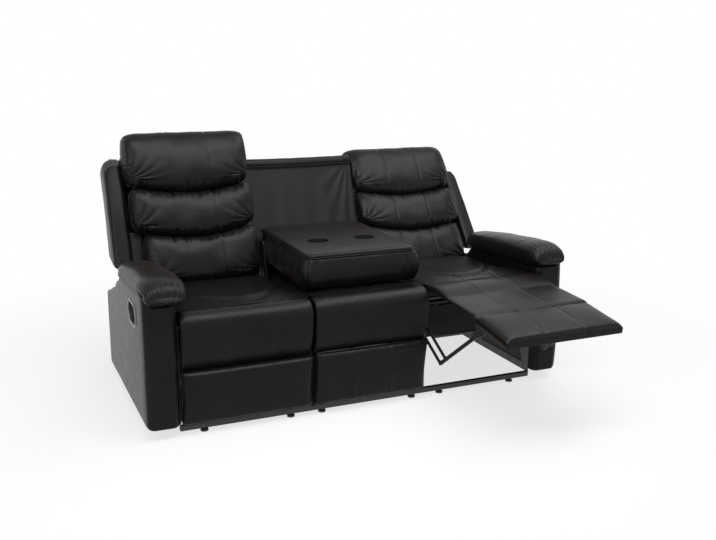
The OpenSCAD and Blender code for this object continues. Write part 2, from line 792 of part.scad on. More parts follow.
module stay_links(side) {
  t = out(side);
  p = link_axis + stay_vector;
  q = elbow(t) + stay_vector;
  color(steel) placed(side) both_ends() {
    slab(bay_in + link_x, link_t) pierced([p], stud_r + pin_gap) bar(p, q, link_w);
    rod(bay_in + link_x, q, stud_r, lift_x - link_x + link_t + head_t);
    rod(bay_in + lift_x + link_t + pin_gap, q, head_r, head_t);
  }
}

open_gap = 0.5;
module lift_links(side) {
  t = out(side);
  p = elbow(t) + stay_vector;
  q = foot_pivot(t);
  color(steel) placed(side) both_ends()
    slab(bay_in + lift_x, link_t) pierced([p], stud_r + open_gap)
      pierced([elbow(t), q], stud_r + pin_gap) union() {
        bar(p, q, link_w);
        translate(elbow(t)) circle(r = boss_r);
      }
}

// BACKS
stile_w = 22;
board_thin = 6;
back_out = 2 * bay_mid - back_in;
frame_low = 40;
frame_top = back_l - board_t;
bolt_r = 8;
bolt_zs = [70, 140];
hook_w = 28;
hook_rim = 2;
hook_top = 165;
// Arms that carry a back from the recline axis, bolted to the stiles of its frame
module back_brackets(side) {
  r = hook_w / 2 + hook_rim;
  color(steel) placed(side) both_ends() {
    reclined(recline(side)) slab(bay_in + link_x, link_t) difference() {
      union() {
        translate(recline_axis) circle(r = r);
        polygon([
          recline_axis + [0, r], [side_box_rear, recline_z + r],
          lean_pt(-hook_w / 2, frame_low + hook_w / 2), lean_pt(-hook_w / 2, hook_top),
          lean_pt(hook_w / 2, hook_top), lean_pt(hook_w / 2, frame_low - hook_w / 2),
          [side_box_rear, recline_z - r - hook_w / 2], recline_axis - [0, r],
        ]);
      }
      translate(recline_axis) circle(r = hinge_pin_r + pin_gap);
    }
    leaned(recline(side)) for (z = bolt_zs) rod(bay_in + link_x, [0, z], bolt_r, back_in - bay_in - link_x);
  }
}

module back_frame(side) {
  h = back_frame_t;
  tall = frame_top - frame_low;
  color(timber) placed(side) leaned(recline(side)) {
    for (x = [back_in, back_out - stile_w]) translate([x, -h / 2, frame_low]) cube([stile_w, h, tall]);
    for (share = [0, 0.5, 1])
      translate([back_in, -h / 2, frame_low + share * (tall - 2 * stile_w)])
        cube([back_out - back_in, h, 2 * stile_w]);
    translate([back_in, h / 2 - board_thin, frame_low]) cube([back_out - back_in, board_thin, tall]);
  }
}

shell_t = 14;
shell_low = 40;
wing_front = -60;
wing_low = 176;
wing_round = 60;
wing_in = wing_out - wing_w;
wing_rear = wing_low + 1.2 * shell_y;
// Outline of a wing in the back's frame, drawn in by inset
function wing_outline(inset) = [
  [wing_front + inset, wing_low + 2 * inset],
  [wing_front + shell_y - shell_t, wing_low + shell_y / 2 + inset / 2],
  [shell_y - inset, wing_rear + inset / 2],
  [shell_y - inset, back_l - shell_t / 2 - inset],
  [shell_y - shell_t - inset / 2, back_l - inset],
  [wing_front + shell_t + inset, back_l - 2 * shell_t - inset],
  [wing_front + inset, back_l - 4 * shell_t - inset],
];
module back_shell(side) {
  color(leather) placed(side) leaned(recline(side)) {
    intersection() {
      difference() {
        slab(wing_in, wing_w) polygon(wing_outline(0));
        slab(wing_in + shell_t, wing_w - 2 * shell_t) polygon(wing_outline(shell_t));
      }
      translate([wing_in, shell_y, 0]) rotate([90, 0, 0]) linear_extrude(shell_y - wing_front) {
        square([wing_w, back_l - wing_round]);
        square([wing_w - wing_round, back_l]);
        translate([wing_w - wing_round, back_l - wing_round]) circle(r = wing_round);
      }
    }
    translate([back_in, shell_y - shell_t, shell_low])
      cube([bay_out - play - back_in, shell_t, wing_rear - shell_low]);
    translate([back_in, shell_y - shell_t, wing_rear])
      cube([wing_in - back_in, shell_t, back_l - shell_t - wing_rear]);
    translate([back_in, back_frame_t / 2, back_l - 2 * shell_t])
      cube([wing_in - back_in, shell_y - back_frame_t / 2, shell_t]);
    translate([back_in, back_frame_t / 2, shell_low])
      cube([back_out - back_in, shell_y - back_frame_t / 2, shell_t]);
  }
}

// Sag of the seams in the middle
head_sag = 44;
mid_sag = 52;
lumbar_sag = 26;
cushion_back = -back_frame_t / 2 - soft_gap;
head_puff = 10;
// How far the middle bolster rises to meet the puffed pillow
puff_lap = head_puff * 0.08;
arm_play = 12;
module head_pillow(side) {
  color(leather_lit) placed(side) leaned(recline(side))
    bolster([back_in + soft_gap, pillow_out], [-bolster_y - head_puff, cushion_back], [seam_head, pillow_top],
      [head_sag, 0], end = 0.66, squareness = 0.76);
}

module middle_bolster(side) {
  color(leather) placed(side) leaned(recline(side))
    bolster([back_in + soft_gap, pillow_out - arm_play], [-bolster_y, cushion_back],
      [seam_mid, seam_head - soft_gap + puff_lap], [mid_sag, head_sag], end = 0.72);
}

module lumbar_bolster(side) {
  color(leather) placed(side) leaned(recline(side))
    bolster([back_in + soft_gap, bay_out - arm_play], [-bolster_y, cushion_back],
      [lumbar_low, seam_mid - soft_gap], [lumbar_sag, mid_sag], end = 0.6);
}

// MIDDLE SEAT AND BACK
module middle_upper_panel() {
  flap_pad(RIGHT, 0, -mid_half + soft_gap, mid_half - soft_gap, false);
}

module middle_lower_panel() {
  color(leather_lit) placed()
    panel_pad(crease_closed, foot_closed, [-mid_half + soft_gap, mid_half - soft_gap],
      [0, foot_l], [foot_board_t - foot_t + soft_gap, 0], foot_crown, foot_pull);
}

base_panel_h = 300;
base_panel_y = 800;
module rear_base_panel() {
  color(leather) placed() translate([-bay_out, base_panel_y, floor_gap])
    cube([2 * bay_out, board_t, base_panel_h - floor_gap]);
}

post_w = 40;
post_y = [57, 85];
post_top = 636;
post_low = 110;
mid_play = 4;
mid_out = back_in - mid_play;
module middle_back_frame() {
  post_d = post_y[1] - post_y[0];
  front_knee = lean_pt(post_y[0], 0);
  rear_knee = lean_pt(post_y[1], 0);
  front_foot = [box_rear, front_knee[1] - (front_knee[0] - box_rear) / tan(lean)];
  rear_foot = [box_rear + post_d, rear_knee[1] - (rear_knee[0] - box_rear - post_d) / tan(lean)];
  color(timber) placed() {
    both_halves() slab(mid_half - board_t - post_w, post_w) polygon([
      [box_rear, post_low], [box_rear + post_d, post_low], rear_foot, lean_pt(post_y[1], post_top),
      lean_pt(post_y[0], post_top), front_foot]);
    leaned() {
      translate([-mid_out, post_y[0], post_top - post_w]) cube([2 * mid_out, post_d, post_w]);
      translate([-mid_half, post_y[1] - board_thin, 0]) cube([2 * mid_half, board_thin, post_top]);
    }
  }
}

roll_pad_t = 60;
roll_pad_h = 46;
module middle_back_rail_pad() {
  color(leather) placed() leaned()
    bolster([-mid_out + soft_gap, mid_out - soft_gap],
      [post_y[0] - roll_pad_t / 3, post_y[0] + roll_pad_t * 2 / 3],
      [post_top + soft_gap, post_top + roll_pad_h],
      end = 0.85, squareness = 0.5, steps = 6);
}

drape_t = 8;
drape_low = 150;
drape_fold = 3;
folds = 5;
// The cloth panel under the rail, drawn into folds beside the right back
module middle_back_drape() {
  steps = 24;
  reach = mid_out - soft_gap;
  high = post_top - soft_gap;
  color(lining) placed() leaned()
    loft([for (k = [0 : steps]) let (
        u = -1 + 2 * k / steps,
        wave = drape_fold * (1 + sin(360 * folds * u)) / 2 * (0.3 + 0.7 * max(0, u)),
        back = post_y[0] - soft_gap
      )
      [[u * reach, back - drape_t - wave, drape_low], [u * reach, back - drape_t - wave / 3, high],
       [u * reach, back, high], [u * reach, back, drape_low]]], flip = true);
}

module middle_back_cover() {
  color(leather) placed() leaned()
    translate([-mid_out, post_y[1] + soft_gap, 0]) cube([2 * mid_out, shell_t / 2, post_top]);
}

// CONSOLE
console_half = mid_half - mid_play;
console_rear = console_y + console_l;
console_low = console_h - console_t;
console_axis = [console_rear - console_back, console_h - table_t - core_t / 2];
core_low = console_axis[1] - core_t / 2;
bush_r = 12;
bush_l = 40;
bracket_t = 4;
bracket_r = 22;
console_round = 34;
module console_brackets() {
  foot_z = box_low + board_t;
  color(steel) placed() both_halves() {
    slab(mid_half, bracket_t) {
      polygon([[box_rear - 2 * post_w, foot_z], [box_rear, foot_z],
        console_axis + [bracket_r, 0], console_axis + [-bracket_r, 0]]);
      translate(console_axis) circle(r = bracket_r);
    }
    rod(console_half - bush_l + play, console_axis, console_pin_r,
      mid_half - console_half + bush_l - play + bracket_t);
  }
}

module console_board() {
  color(timber) placed() difference() {
    translate([-console_half, console_y + console_round, core_low])
      cube([2 * console_half, console_l - console_round - play, core_t]);
    both_halves() rod(console_half - bush_l, console_axis, bush_r, bush_l + cut);
  }
}

module console_bushes() {
  color(steel) placed() both_halves() difference() {
    rod(console_half - bush_l, console_axis, bush_r, bush_l);
    rod(console_half - bush_l + play / 2, console_axis, console_pin_r + pin_gap, bush_l + cut);
  }
}

holder_wall = 2.5;
holder_rim = 6;
module console_table_pad() {
  low = core_low + core_t;
  color(leather_lit) placed() difference() {
    intersection() {
      translate([-console_half, console_y, low]) linear_extrude(console_h - low)
        round_rect([2 * console_half, console_l], console_round);
      slab(-console_half, 2 * console_half) translate([console_y, low - console_t])
        round_rect([console_l, console_h - low + console_t], console_round);
    }
    for (s = [-1, 1]) translate([s * holder_x, holder_y, low - cut])
      cylinder(r = holder_r + holder_rim + soft_gap, h = console_h);
  }
}

module cup_holders() {
  low = core_low + core_t;
  color(plastic) placed() for (s = [-1, 1]) translate([s * holder_x, holder_y, low]) difference() {
    union() {
      cylinder(r = holder_r + holder_wall, h = console_h - low);
      translate([0, 0, console_h - low]) cylinder(r = holder_r + holder_rim, h = holder_wall);
    }
    translate([0, 0, holder_wall]) cylinder(r = holder_r, h = console_h);
  }
}

cushion_crown = 12;
cushion_rows = 12;
cushion_valleys = [4, 8];
// The back of the middle seat, which lies face down while the table is out
module console_back_cushion() {
  color(leather) placed()
    panel_pad([console_y, core_low - soft_gap], 0, [-console_half, console_half],
      [0, console_l - play], [0, core_low - soft_gap - console_low - cushion_crown], cushion_crown,
      rows = cushion_rows, valleys = cushion_valleys);
}

arm_body(LEFT);  // left_arm_body
arm_body(RIGHT);  // right_arm_body
arm_pad(LEFT);  // left_arm_pad
arm_pad(RIGHT);  // right_arm_pad
handle_cup(LEFT);  // left_handle_cup
handle_cup(RIGHT);  // right_handle_cup
release_pull(LEFT);  // left_release_pull
release_pull(RIGHT);  // right_release_pull
floor_rails();
floor_glides();
side_plates(LEFT);  // left_side_plates
side_plates(RIGHT);  // right_side_plates
seat_box(LEFT);  // left_seat_box
seat_box(RIGHT);  // right_seat_box
middle_seat_box();
seat_springs();
side_seat_cushion(LEFT);  // left_seat_cushion
side_seat_cushion(RIGHT);  // right_seat_cushion
middle_seat_cushion();
middle_upper_panel();
middle_lower_panel();
rear_base_panel();
middle_back_frame();
middle_back_rail_pad();
middle_back_drape();
middle_back_cover();
drive_links(LEFT);  // left_drive_links
drive_links(RIGHT);  // right_drive_links
stay_links(LEFT);  // left_stay_links
stay_links(RIGHT);  // right_stay_links
lift_links(LEFT);  // left_lift_links
lift_links(RIGHT);  // right_lift_links
footrest_brackets(LEFT);  // left_footrest_brackets
footrest_brackets(RIGHT);  // right_footrest_brackets
footrest_board(LEFT);  // left_footrest_board
footrest_board(RIGHT);  // right_footrest_board
footrest_pad(LEFT);  // left_footrest_pad
footrest_pad(RIGHT);  // right_footrest_pad
side_flap_pad(LEFT);  // left_flap_pad
side_flap_pad(RIGHT);  // right_flap_pad
flap_web(LEFT);  // left_flap_web
flap_web(RIGHT);  // right_flap_web
back_brackets(LEFT);  // left_back_brackets
back_brackets(RIGHT);  // right_back_brackets
back_frame(LEFT);  // left_back_frame
back_frame(RIGHT);  // right_back_frame
back_shell(LEFT);  // left_back_shell
back_shell(RIGHT);  // right_back_shell
head_pillow(LEFT);  // left_head_pillow
head_pillow(RIGHT);  // right_head_pillow
middle_bolster(LEFT);  // left_middle_bolster
middle_bolster(RIGHT);  // right_middle_bolster
lumbar_bolster(LEFT);  // left_lumbar_bolster
lumbar_bolster(RIGHT);  // right_lumbar_bolster
console_brackets();
console_board();
console_bushes();
console_table_pad();
console_back_cushion();
cup_holders();
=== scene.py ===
"""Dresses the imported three-seat reclining sofa: stitched leather, painted steel, board and springs."""
import json
import logging
import math
from dataclasses import dataclass, field
from enum import Enum
from typing import Callable, Sequence

import bmesh
import bpy
from mathutils import Matrix, Vector, noise


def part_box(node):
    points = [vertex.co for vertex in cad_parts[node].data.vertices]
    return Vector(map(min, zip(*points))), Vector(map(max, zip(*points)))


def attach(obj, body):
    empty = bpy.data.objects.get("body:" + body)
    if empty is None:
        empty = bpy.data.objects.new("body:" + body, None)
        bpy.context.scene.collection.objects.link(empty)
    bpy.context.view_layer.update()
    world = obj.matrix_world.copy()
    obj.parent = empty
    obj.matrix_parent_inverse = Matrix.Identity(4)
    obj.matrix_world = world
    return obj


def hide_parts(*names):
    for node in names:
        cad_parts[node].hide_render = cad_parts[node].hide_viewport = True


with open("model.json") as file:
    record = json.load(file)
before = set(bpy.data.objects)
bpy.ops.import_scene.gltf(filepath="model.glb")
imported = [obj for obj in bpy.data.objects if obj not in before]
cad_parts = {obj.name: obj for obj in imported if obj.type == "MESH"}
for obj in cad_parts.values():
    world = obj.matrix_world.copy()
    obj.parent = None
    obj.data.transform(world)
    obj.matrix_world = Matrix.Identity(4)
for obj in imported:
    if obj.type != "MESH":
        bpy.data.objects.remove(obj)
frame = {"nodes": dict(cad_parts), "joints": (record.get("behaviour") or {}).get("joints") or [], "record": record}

LOG = logging.getLogger("sofa")
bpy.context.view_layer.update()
JOINTS = {joint["name"]: joint for joint in frame["joints"]}
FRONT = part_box("left_arm_body")[0].y
Shape = Callable[[float, float, float], Vector]
Relief = Callable[[float, float, float], float]


class Side(Enum):
    """The two sides of the sofa, as the viewer sees them, with the sign of X."""

    LEFT = -1
    RIGHT = 1

    @property
    def word(self) -> str:
        """The side's name as the nodes and bodies write it."""
        return self.name.lower()


# Small measures of forms and creases

def fade(distance: float, length: float) -> float:
    """A value that falls from one at zero distance, by a factor e over the length."""
    return math.exp(-abs(distance) / length)


def dent(distance: float, width: float) -> float:
    """A smooth dent of the given half width, one in its middle."""
    return math.exp(-((distance / width) ** 2))


def blend_value(low: float, high: float, value: float) -> float:
    """A smooth step from zero at low to one at high."""
    t = min(1.0, max(0.0, (value - low) / (high - low)))
    return t * t * (3 - 2 * t)


def crease(run: float, pitch: float, seed: float) -> float:
    """Sharp irregular folds along a run.

    Args:
        run: place along the seam that the folds leave, in metres.
        pitch: usual distance between folds, in metres.
        seed: picks another pattern.

    Returns:
        A value from zero between folds to one in the bottom of a fold.
    """
    wave = noise.noise(Vector((run / pitch, seed, seed * 0.37)))
    return max(0.0, 1 - abs(wave) * 3.4)


def puckers(run: float, pitch: float, seed: float) -> float:
    """Soft gathered folds along a run, from minus one to one."""
    phase = run / pitch + 0.6 * noise.noise(Vector((run / pitch / 3, seed, 1.7)))
    size = 0.65 + 0.6 * noise.noise(Vector((run / pitch / 2, seed + 5, 0.3)))
    return math.sin(2 * math.pi * phase) * size


def gather(run: float, pitch: float, seed: float) -> float:
    """Sharp sewn-in gathers along a run: narrow valleys between round ridges.

    Args:
        run: place along the seam, in metres.
        pitch: usual distance between valleys, in metres.
        seed: picks another pattern.

    Returns:
        A value from about minus one in a valley to a third on a ridge.
    """
    phase = run / pitch + 0.7 * noise.noise(Vector((run / pitch / 2.3, seed, 1.7)))
    off = abs(phase - round(phase))
    size = 0.7 + 0.7 * noise.noise(Vector((run / pitch / 1.6, seed + 5, 0.3)))
    return size * (0.4 - 1.3 * dent(off, 0.22))


def rumple(place: Vector, size: float, seed: float) -> float:
    """Gentle waves of a stretched hide, about minus one to one."""
    return noise.noise(Vector((place.x / size, place.y / size, place.z / size + seed)))


def superellipse(b: float, c: float, power: float) -> tuple[float, float]:
    """Maps a point of the unit square to the superellipse of the given power."""
    reach = max(abs(b), abs(c))
    if reach == 0:
        return 0.0, 0.0
    angle = math.atan2(c, b)
    cosine, sine = math.cos(angle), math.sin(angle)
    radius = (abs(cosine) ** power + abs(sine) ** power) ** (-1 / power)
    return reach * radius * cosine, reach * radius * sine


def swell(a: float, end: float, power: float = 6) -> float:
    """The girth of a stuffed roll along its length: one in the middle, end at its ends."""
    return end + (1 - end) * math.sqrt(max(0.0, 1 - abs(a) ** power))


@dataclass(frozen=True)
class Folds:
    """Folds beside a seam: their depth, their pitch and how far they reach from it, in metres."""

    depth: float
    pitch: float
    reach: float

    def soft(self, run: float, seed: float, away: float) -> float:
        """The height of soft puckers at a place along the seam and a distance from it."""
        return self.depth * puckers(run, self.pitch, seed) * fade(away, self.reach)

    def sharp(self, run: float, seed: float, away: float) -> float:
        """The height of sewn-in gathers at a place along the seam and a distance from it."""
        return self.depth * gather(run, self.pitch, seed) * fade(away, self.reach)


STITCH_SHARES = (-1 / 3, 1 / 3)
SEWN_WIDTH = 0.0035
SEWN_DEPTH = 0.0026
SEAT_SEWN_DEPTH = 0.0028


def stitch_dent(
    half: float, a: float, depth: float = SEWN_DEPTH, shares: Sequence[float] = STITCH_SHARES,
) -> float:
    """How deep sewn lines press in at share a of a piece.

    Args:
        half: half of the piece's width, in metres.
        a: the place across it, from minus one to one.
        depth: how deep a line is in its middle, in metres.
        shares: where the lines run, as shares of the half width.

    Returns:
        The depth at that place, in metres.
    """
    return sum(depth * dent((a - share) * half, SEWN_WIDTH) for share in shares)


# Meshes

def block(cuts: Sequence[int]) -> bmesh.types.BMesh:
    """A cube from minus one to one, divided into quads.

    Args:
        cuts: how many faces lie along X, Y and Z.

    Returns:
        The new bmesh.
    """
    bm = bmesh.new()
    bmesh.ops.create_cube(bm, size=2.0)
    for axis, count in enumerate(cuts):
        along = [e for e in bm.edges if abs(e.verts[0].co[axis] - e.verts[1].co[axis]) > 1e-4]
        if count > 1:
            bmesh.ops.subdivide_edges(bm, edges=along, cuts=count - 1, use_grid_fill=True)
    return bm


def link_mesh(
    bm: bmesh.types.BMesh, name: str, finish: bpy.types.Material, smooth: bool = True,
) -> bpy.types.Object:
    """Turns a finished bmesh into an object at the origin.

    Args:
        bm: the mesh, with its place in its vertices. It is freed.
        name: the piece's name.
        finish: the material of the piece.
        smooth: whether its faces are shaded smooth.

    Returns:
        The new object.
    """
    bmesh.ops.recalc_face_normals(bm, faces=bm.faces)
    for face in bm.faces:
        face.smooth = smooth
    mesh = bpy.data.meshes.new(name)
    bm.to_mesh(mesh)
    bm.free()
    mesh.materials.append(finish)
    piece = bpy.data.objects.new(name, mesh)
    bpy.context.scene.collection.objects.link(piece)
    return piece


def smooth_out(piece: bpy.types.Object, levels: int = 1) -> None:
    """Adds a subdivision surface that shows the same in view and render."""
    surface = piece.modifiers.new("surface", "SUBSURF")
    surface.levels = levels
    surface.render_levels = levels


def soften(piece: bpy.types.Object, width: float, segments: int = 3) -> None:
    """Rounds the sharp edges of a piece by the width, in metres."""
    bevel = piece.modifiers.new("round", "BEVEL")
    bevel.width = width
    bevel.segments = segments
    bevel.limit_method = "ANGLE"
    bevel.harden_normals = False


def padded_mesh(
    cuts: Sequence[int], shape: Shape, relief: Relief | None = None, mirror: bool = False,
) -> bmesh.types.BMesh:
    """Shapes a block into a padded form and presses its seams and folds into it.

    Args:
        cuts: the block's faces along its three axes.
        shape: gives the place of each point of the block.
        relief: gives how far each point moves along its normal, in metres.
        mirror: whether the form is turned over to the viewer's left.

    Returns:
        The shaped bmesh.
    """
    bm = block(cuts)
    units = [vert.co.copy() for vert in bm.verts]
    for vert in bm.verts:
        vert.co = shape(*vert.co)
    if relief is not None:
        bmesh.ops.recalc_face_normals(bm, faces=bm.faces)
        bm.normal_update()
        normals = [vert.normal.copy() for vert in bm.verts]
        for vert, unit, normal in zip(bm.verts, units, normals):
            vert.co += normal * relief(*unit)
    if mirror:
        bmesh.ops.scale(bm, vec=(-1, 1, 1), verts=bm.verts)
    return bm


def sweep(path: Sequence[Vector], radius: float, sides: int = 8) -> bmesh.types.BMesh:
    """A round cord along a path, closed at both ends.

    Args:
        path: the points of the cord's middle.
        radius: the cord's radius in metres.
        sides: faces around the cord.

    Returns:
        The new bmesh.
    """
    bm = bmesh.new()
    ring = bmesh.ops.create_circle(bm, cap_ends=True, radius=radius, segments=sides)["verts"]
    last = Vector((0, 0, 1))
    here = Vector((0, 0, 0))
    for index, point in enumerate(path):
        ahead = path[min(index + 1, len(path) - 1)] - path[max(index - 1, 0)]
        turn = last.rotation_difference(ahead.normalized()).to_matrix()
        if index:
            edges = {edge for vert in ring for edge in vert.link_edges if all(v in ring for v in edge.verts)}
            grown = bmesh.ops.extrude_edge_only(bm, edges=list(edges))["geom"]
            ring = [item for item in grown if isinstance(item, bmesh.types.BMVert)]
        bmesh.ops.translate(bm, vec=point - here, verts=ring)
        bmesh.ops.rotate(bm, cent=point, matrix=turn, verts=ring)
        last, here = ahead.normalized(), point
    bmesh.ops.contextual_create(bm, geom=ring)
    return bm


def add_cords(bm: bmesh.types.BMesh, paths: Sequence[Sequence[Vector]], radius: float) -> None:
    """Adds round cords to a mesh.

    Args:
        bm: the mesh that takes the cords.
        paths: the middle line of each cord.
        radius: their radius in metres.
    """
    for path in paths:
        extra = sweep(path, radius)
        mesh = bpy.data.meshes.new("cord")
        extra.to_mesh(mesh)
        extra.free()
        bm.from_mesh(mesh)
        bpy.data.meshes.remove(mesh)


# Finishes

Tone = tuple[float, float, float]

# The darker and the lighter tone of each hide
MATT_TONES: tuple[Tone, Tone] = (0.0036, 0.0033, 0.0031), (0.0056, 0.0050, 0.0047)
# A lighter copy of the hide's tones, painted light for the parts that catch the lamps: arms, head rolls, flaps,
# front panels, table top and rail
PAINTED_LIT_TONES: tuple[Tone, Tone] = (0.0042, 0.0038, 0.0036), (0.0068, 0.0061, 0.0057)
SOFT_TONES: tuple[Tone, Tone] = (0.006, 0.0058, 0.0058), (0.009, 0.0086, 0.0084)
SEAT_TONES: tuple[Tone, Tone] = (0.0036, 0.0033, 0.0031), (0.0060, 0.0054, 0.0050)


class Nodes:
    """Builds a material's node tree a step at a time."""

    def __init__(self, name: str, rough: float, specular: float = 0.5, metallic: float = 0.0) -> None:
        """Makes a material with one principled shader.

        Args:
            name: the material's name.
            rough: the roughness on the shader's socket.
            specular: the specular level on its socket.
            metallic: the metallic value on its socket.
        """
        self.material = bpy.data.materials.new(name)
        self.material.use_nodes = True
        self.tree = self.material.node_tree
        self.shader = self.tree.nodes["Principled BSDF"]
        self.shader.inputs["Roughness"].default_value = rough
        self.shader.inputs["Specular IOR Level"].default_value = specular
        self.shader.inputs["Metallic"].default_value = metallic
        self.place = self.add("ShaderNodeTexCoord").outputs["Object"]
        self.last_bump = None

    def add(self, kind: str, **values: object) -> bpy.types.Node:
        """Adds a node and sets its plain properties."""
        node = self.tree.nodes.new(kind)
        for key, value in values.items():
            setattr(node, key, value)
        return node

    def join(self, source: bpy.types.NodeSocket, target: bpy.types.NodeSocket) -> None:
        """Links an output to an input."""
        self.tree.links.new(source, target)

    def stretch(self, scale: Sequence[float]) -> bpy.types.NodeSocket:
        """The object's coordinates, scaled by three factors."""
        mapping = self.add("ShaderNodeMapping")
        mapping.inputs["Scale"].default_value = scale
        self.join(self.place, mapping.inputs["Vector"])
        return mapping.outputs["Vector"]

    def cloud(
        self, scale: float, detail: float = 3.0, place: bpy.types.NodeSocket | None = None,
    ) -> bpy.types.NodeSocket:
        """A noise of that scale, in cycles per metre."""
        texture = self.add("ShaderNodeTexNoise")
        texture.inputs["Scale"].default_value = scale
        texture.inputs["Detail"].default_value = detail
        self.join(place or self.place, texture.inputs["Vector"])
        return texture.outputs["Fac"]

    def cells(self, scale: float) -> bpy.types.NodeSocket:
        """The distance to the edges of small cells, as a hide's grain has them."""
        texture = self.add("ShaderNodeTexVoronoi", feature="DISTANCE_TO_EDGE")
        texture.inputs["Scale"].default_value = scale
        self.join(self.place, texture.inputs["Vector"])
        return texture.outputs["Distance"]

    def ramp(self, source: bpy.types.NodeSocket, low: float, high: float) -> bpy.types.NodeSocket:
        """Maps the middle of a noise to a range of values."""
        spread = self.add("ShaderNodeMapRange")
        spread.inputs["From Min"].default_value = 0.3
        spread.inputs["From Max"].default_value = 0.7
        spread.inputs["To Min"].default_value = low
        spread.inputs["To Max"].default_value = high
        self.join(source, spread.inputs["Value"])
        return spread.outputs["Result"]

    def colours(self, source: bpy.types.NodeSocket, dark: Sequence[float], light: Sequence[float]) -> None:
        """Colours the shader between two tones."""
        mix = self.add("ShaderNodeMix", data_type="RGBA")
        mix.inputs[6].default_value = (*dark, 1)
        mix.inputs[7].default_value = (*light, 1)
        self.join(source, mix.inputs["Factor"])
        self.join(mix.outputs[2], self.shader.inputs["Base Color"])

    def bump(self, source: bpy.types.NodeSocket, height: float, strength: float = 1.0) -> None:
        """Adds a relief of that height in metres over the ones before it.

        Args:
            source: the socket that gives the pattern.
            height: the relief's height, in metres.
            strength: how strongly it shows, from zero to one.
        """
        node = self.add("ShaderNodeBump")
        node.inputs["Distance"].default_value = height
        node.inputs["Strength"].default_value = strength
        self.join(source, node.inputs["Height"])
        if self.last_bump is not None:
            self.join(self.last_bump, node.inputs["Normal"])
        self.last_bump = node.outputs["Normal"]
        self.join(self.last_bump, self.shader.inputs["Normal"])


@dataclass(frozen=True)
class Leather:
    """Bonded leather: a fine pebbled grain, soft wear and a faint warm bloom at low angles."""

    name: str
    dark: Tone
    light: Tone
    rough: float = 0.33
    grain: float = 620.0
    specular: float = 0.13
    bloom: float = 0.022
    bloom_rough: float = 0.38
    bloom_tint: tuple[float, float, float, float] = (1.0, 0.78, 0.68, 1.0)

    def build(self) -> bpy.types.Material:
        """Makes the material.

        Returns:
            The material.
        """
        nodes = Nodes(self.name, self.rough, self.specular)
        wear = nodes.cloud(7.0, 4.0)
        nodes.colours(nodes.ramp(wear, 0.0, 1.0), self.dark, self.light)
        gloss = nodes.ramp(nodes.cloud(26.0, 5.0), self.rough - 0.03, self.rough + 0.04)
        nodes.join(gloss, nodes.shader.inputs["Roughness"])
        nodes.bump(nodes.cells(self.grain), 0.0004, 0.35)
        nodes.bump(nodes.cloud(75.0, 5.0), 0.0012, 0.22)
        nodes.bump(nodes.cloud(14.0, 2.0), 0.004, 0.25)
        nodes.shader.inputs["Sheen Weight"].default_value = self.bloom
        nodes.shader.inputs["Sheen Roughness"].default_value = self.bloom_rough
        nodes.shader.inputs["Sheen Tint"].default_value = self.bloom_tint
        return nodes.material


@dataclass(frozen=True)
class PaintedSteel:
    """Steel with a baked black paint."""

    name: str
    tone: Tone = (0.013, 0.013, 0.014)
    rough: float = 0.38
    edge_lift: float = 1.9

    def build(self) -> bpy.types.Material:
        """Makes the material."""
        nodes = Nodes(self.name, self.rough, 0.5)
        edge = tuple(value * self.edge_lift for value in self.tone)
        nodes.colours(nodes.ramp(nodes.cloud(18.0, 5.0), 0.0, 0.8), self.tone, edge)
        gloss = nodes.ramp(nodes.cloud(60.0), self.rough - 0.08, self.rough + 0.12)
        nodes.join(gloss, nodes.shader.inputs["Roughness"])
        nodes.bump(nodes.cloud(420.0, 2.0), 0.0002, 0.4)
        return nodes.material


@dataclass(frozen=True)
class BareSteel:
    """Drawn spring wire and turned bushes."""

    name: str
    tone: Tone = (0.42, 0.42, 0.43)
    shade_share: float = 0.55

    def build(self) -> bpy.types.Material:
        """Makes the material."""
        nodes = Nodes(self.name, 0.34, 0.5, 1.0)
        shade = tuple(value * self.shade_share for value in self.tone)
        nodes.colours(nodes.ramp(nodes.cloud(35.0, 4.0), 0.0, 1.0), shade, self.tone)
        streaks = nodes.cloud(1.0, 4.0, nodes.stretch((500, 30, 500)))
        nodes.join(nodes.ramp(streaks, 0.26, 0.46), nodes.shader.inputs["Roughness"])
        nodes.bump(streaks, 0.0001, 0.5)
        return nodes.material


@dataclass(frozen=True)
class Board:
    """Black-stained plywood and rails, with grain along the piece's length."""

    name: str
    dark: Tone = (0.013, 0.010, 0.008)
    light: Tone = (0.030, 0.023, 0.018)

    def build(self) -> bpy.types.Material:
        """Makes the material."""
        nodes = Nodes(self.name, 0.62, 0.35)
        grain = nodes.cloud(1.0, 6.0, nodes.stretch((3, 60, 60)))
        nodes.colours(nodes.ramp(grain, 0.0, 1.0), self.dark, self.light)
        nodes.bump(grain, 0.0006, 0.5)
        nodes.bump(nodes.cloud(260.0, 2.0), 0.0002, 0.4)
        return nodes.material


@dataclass(frozen=True)
class Plastic:
    """Moulded plastic with a fine spark-eroded texture."""

    name: str
    tone: Tone
    rough: float
    shine: float = 0.5
    lift: float = 1.5

    def build(self) -> bpy.types.Material:
        """Makes the material."""
        nodes = Nodes(self.name, self.rough, self.shine)
        lit = tuple(value * self.lift for value in self.tone)
        nodes.colours(nodes.ramp(nodes.cloud(40.0, 3.0), 0.0, 1.0), self.tone, lit)
        gloss = nodes.ramp(nodes.cloud(90.0), self.rough - 0.05, self.rough + 0.08)
        nodes.join(gloss, nodes.shader.inputs["Roughness"])
        nodes.bump(nodes.cloud(900.0, 2.0), 0.0001, 0.5)
        return nodes.material


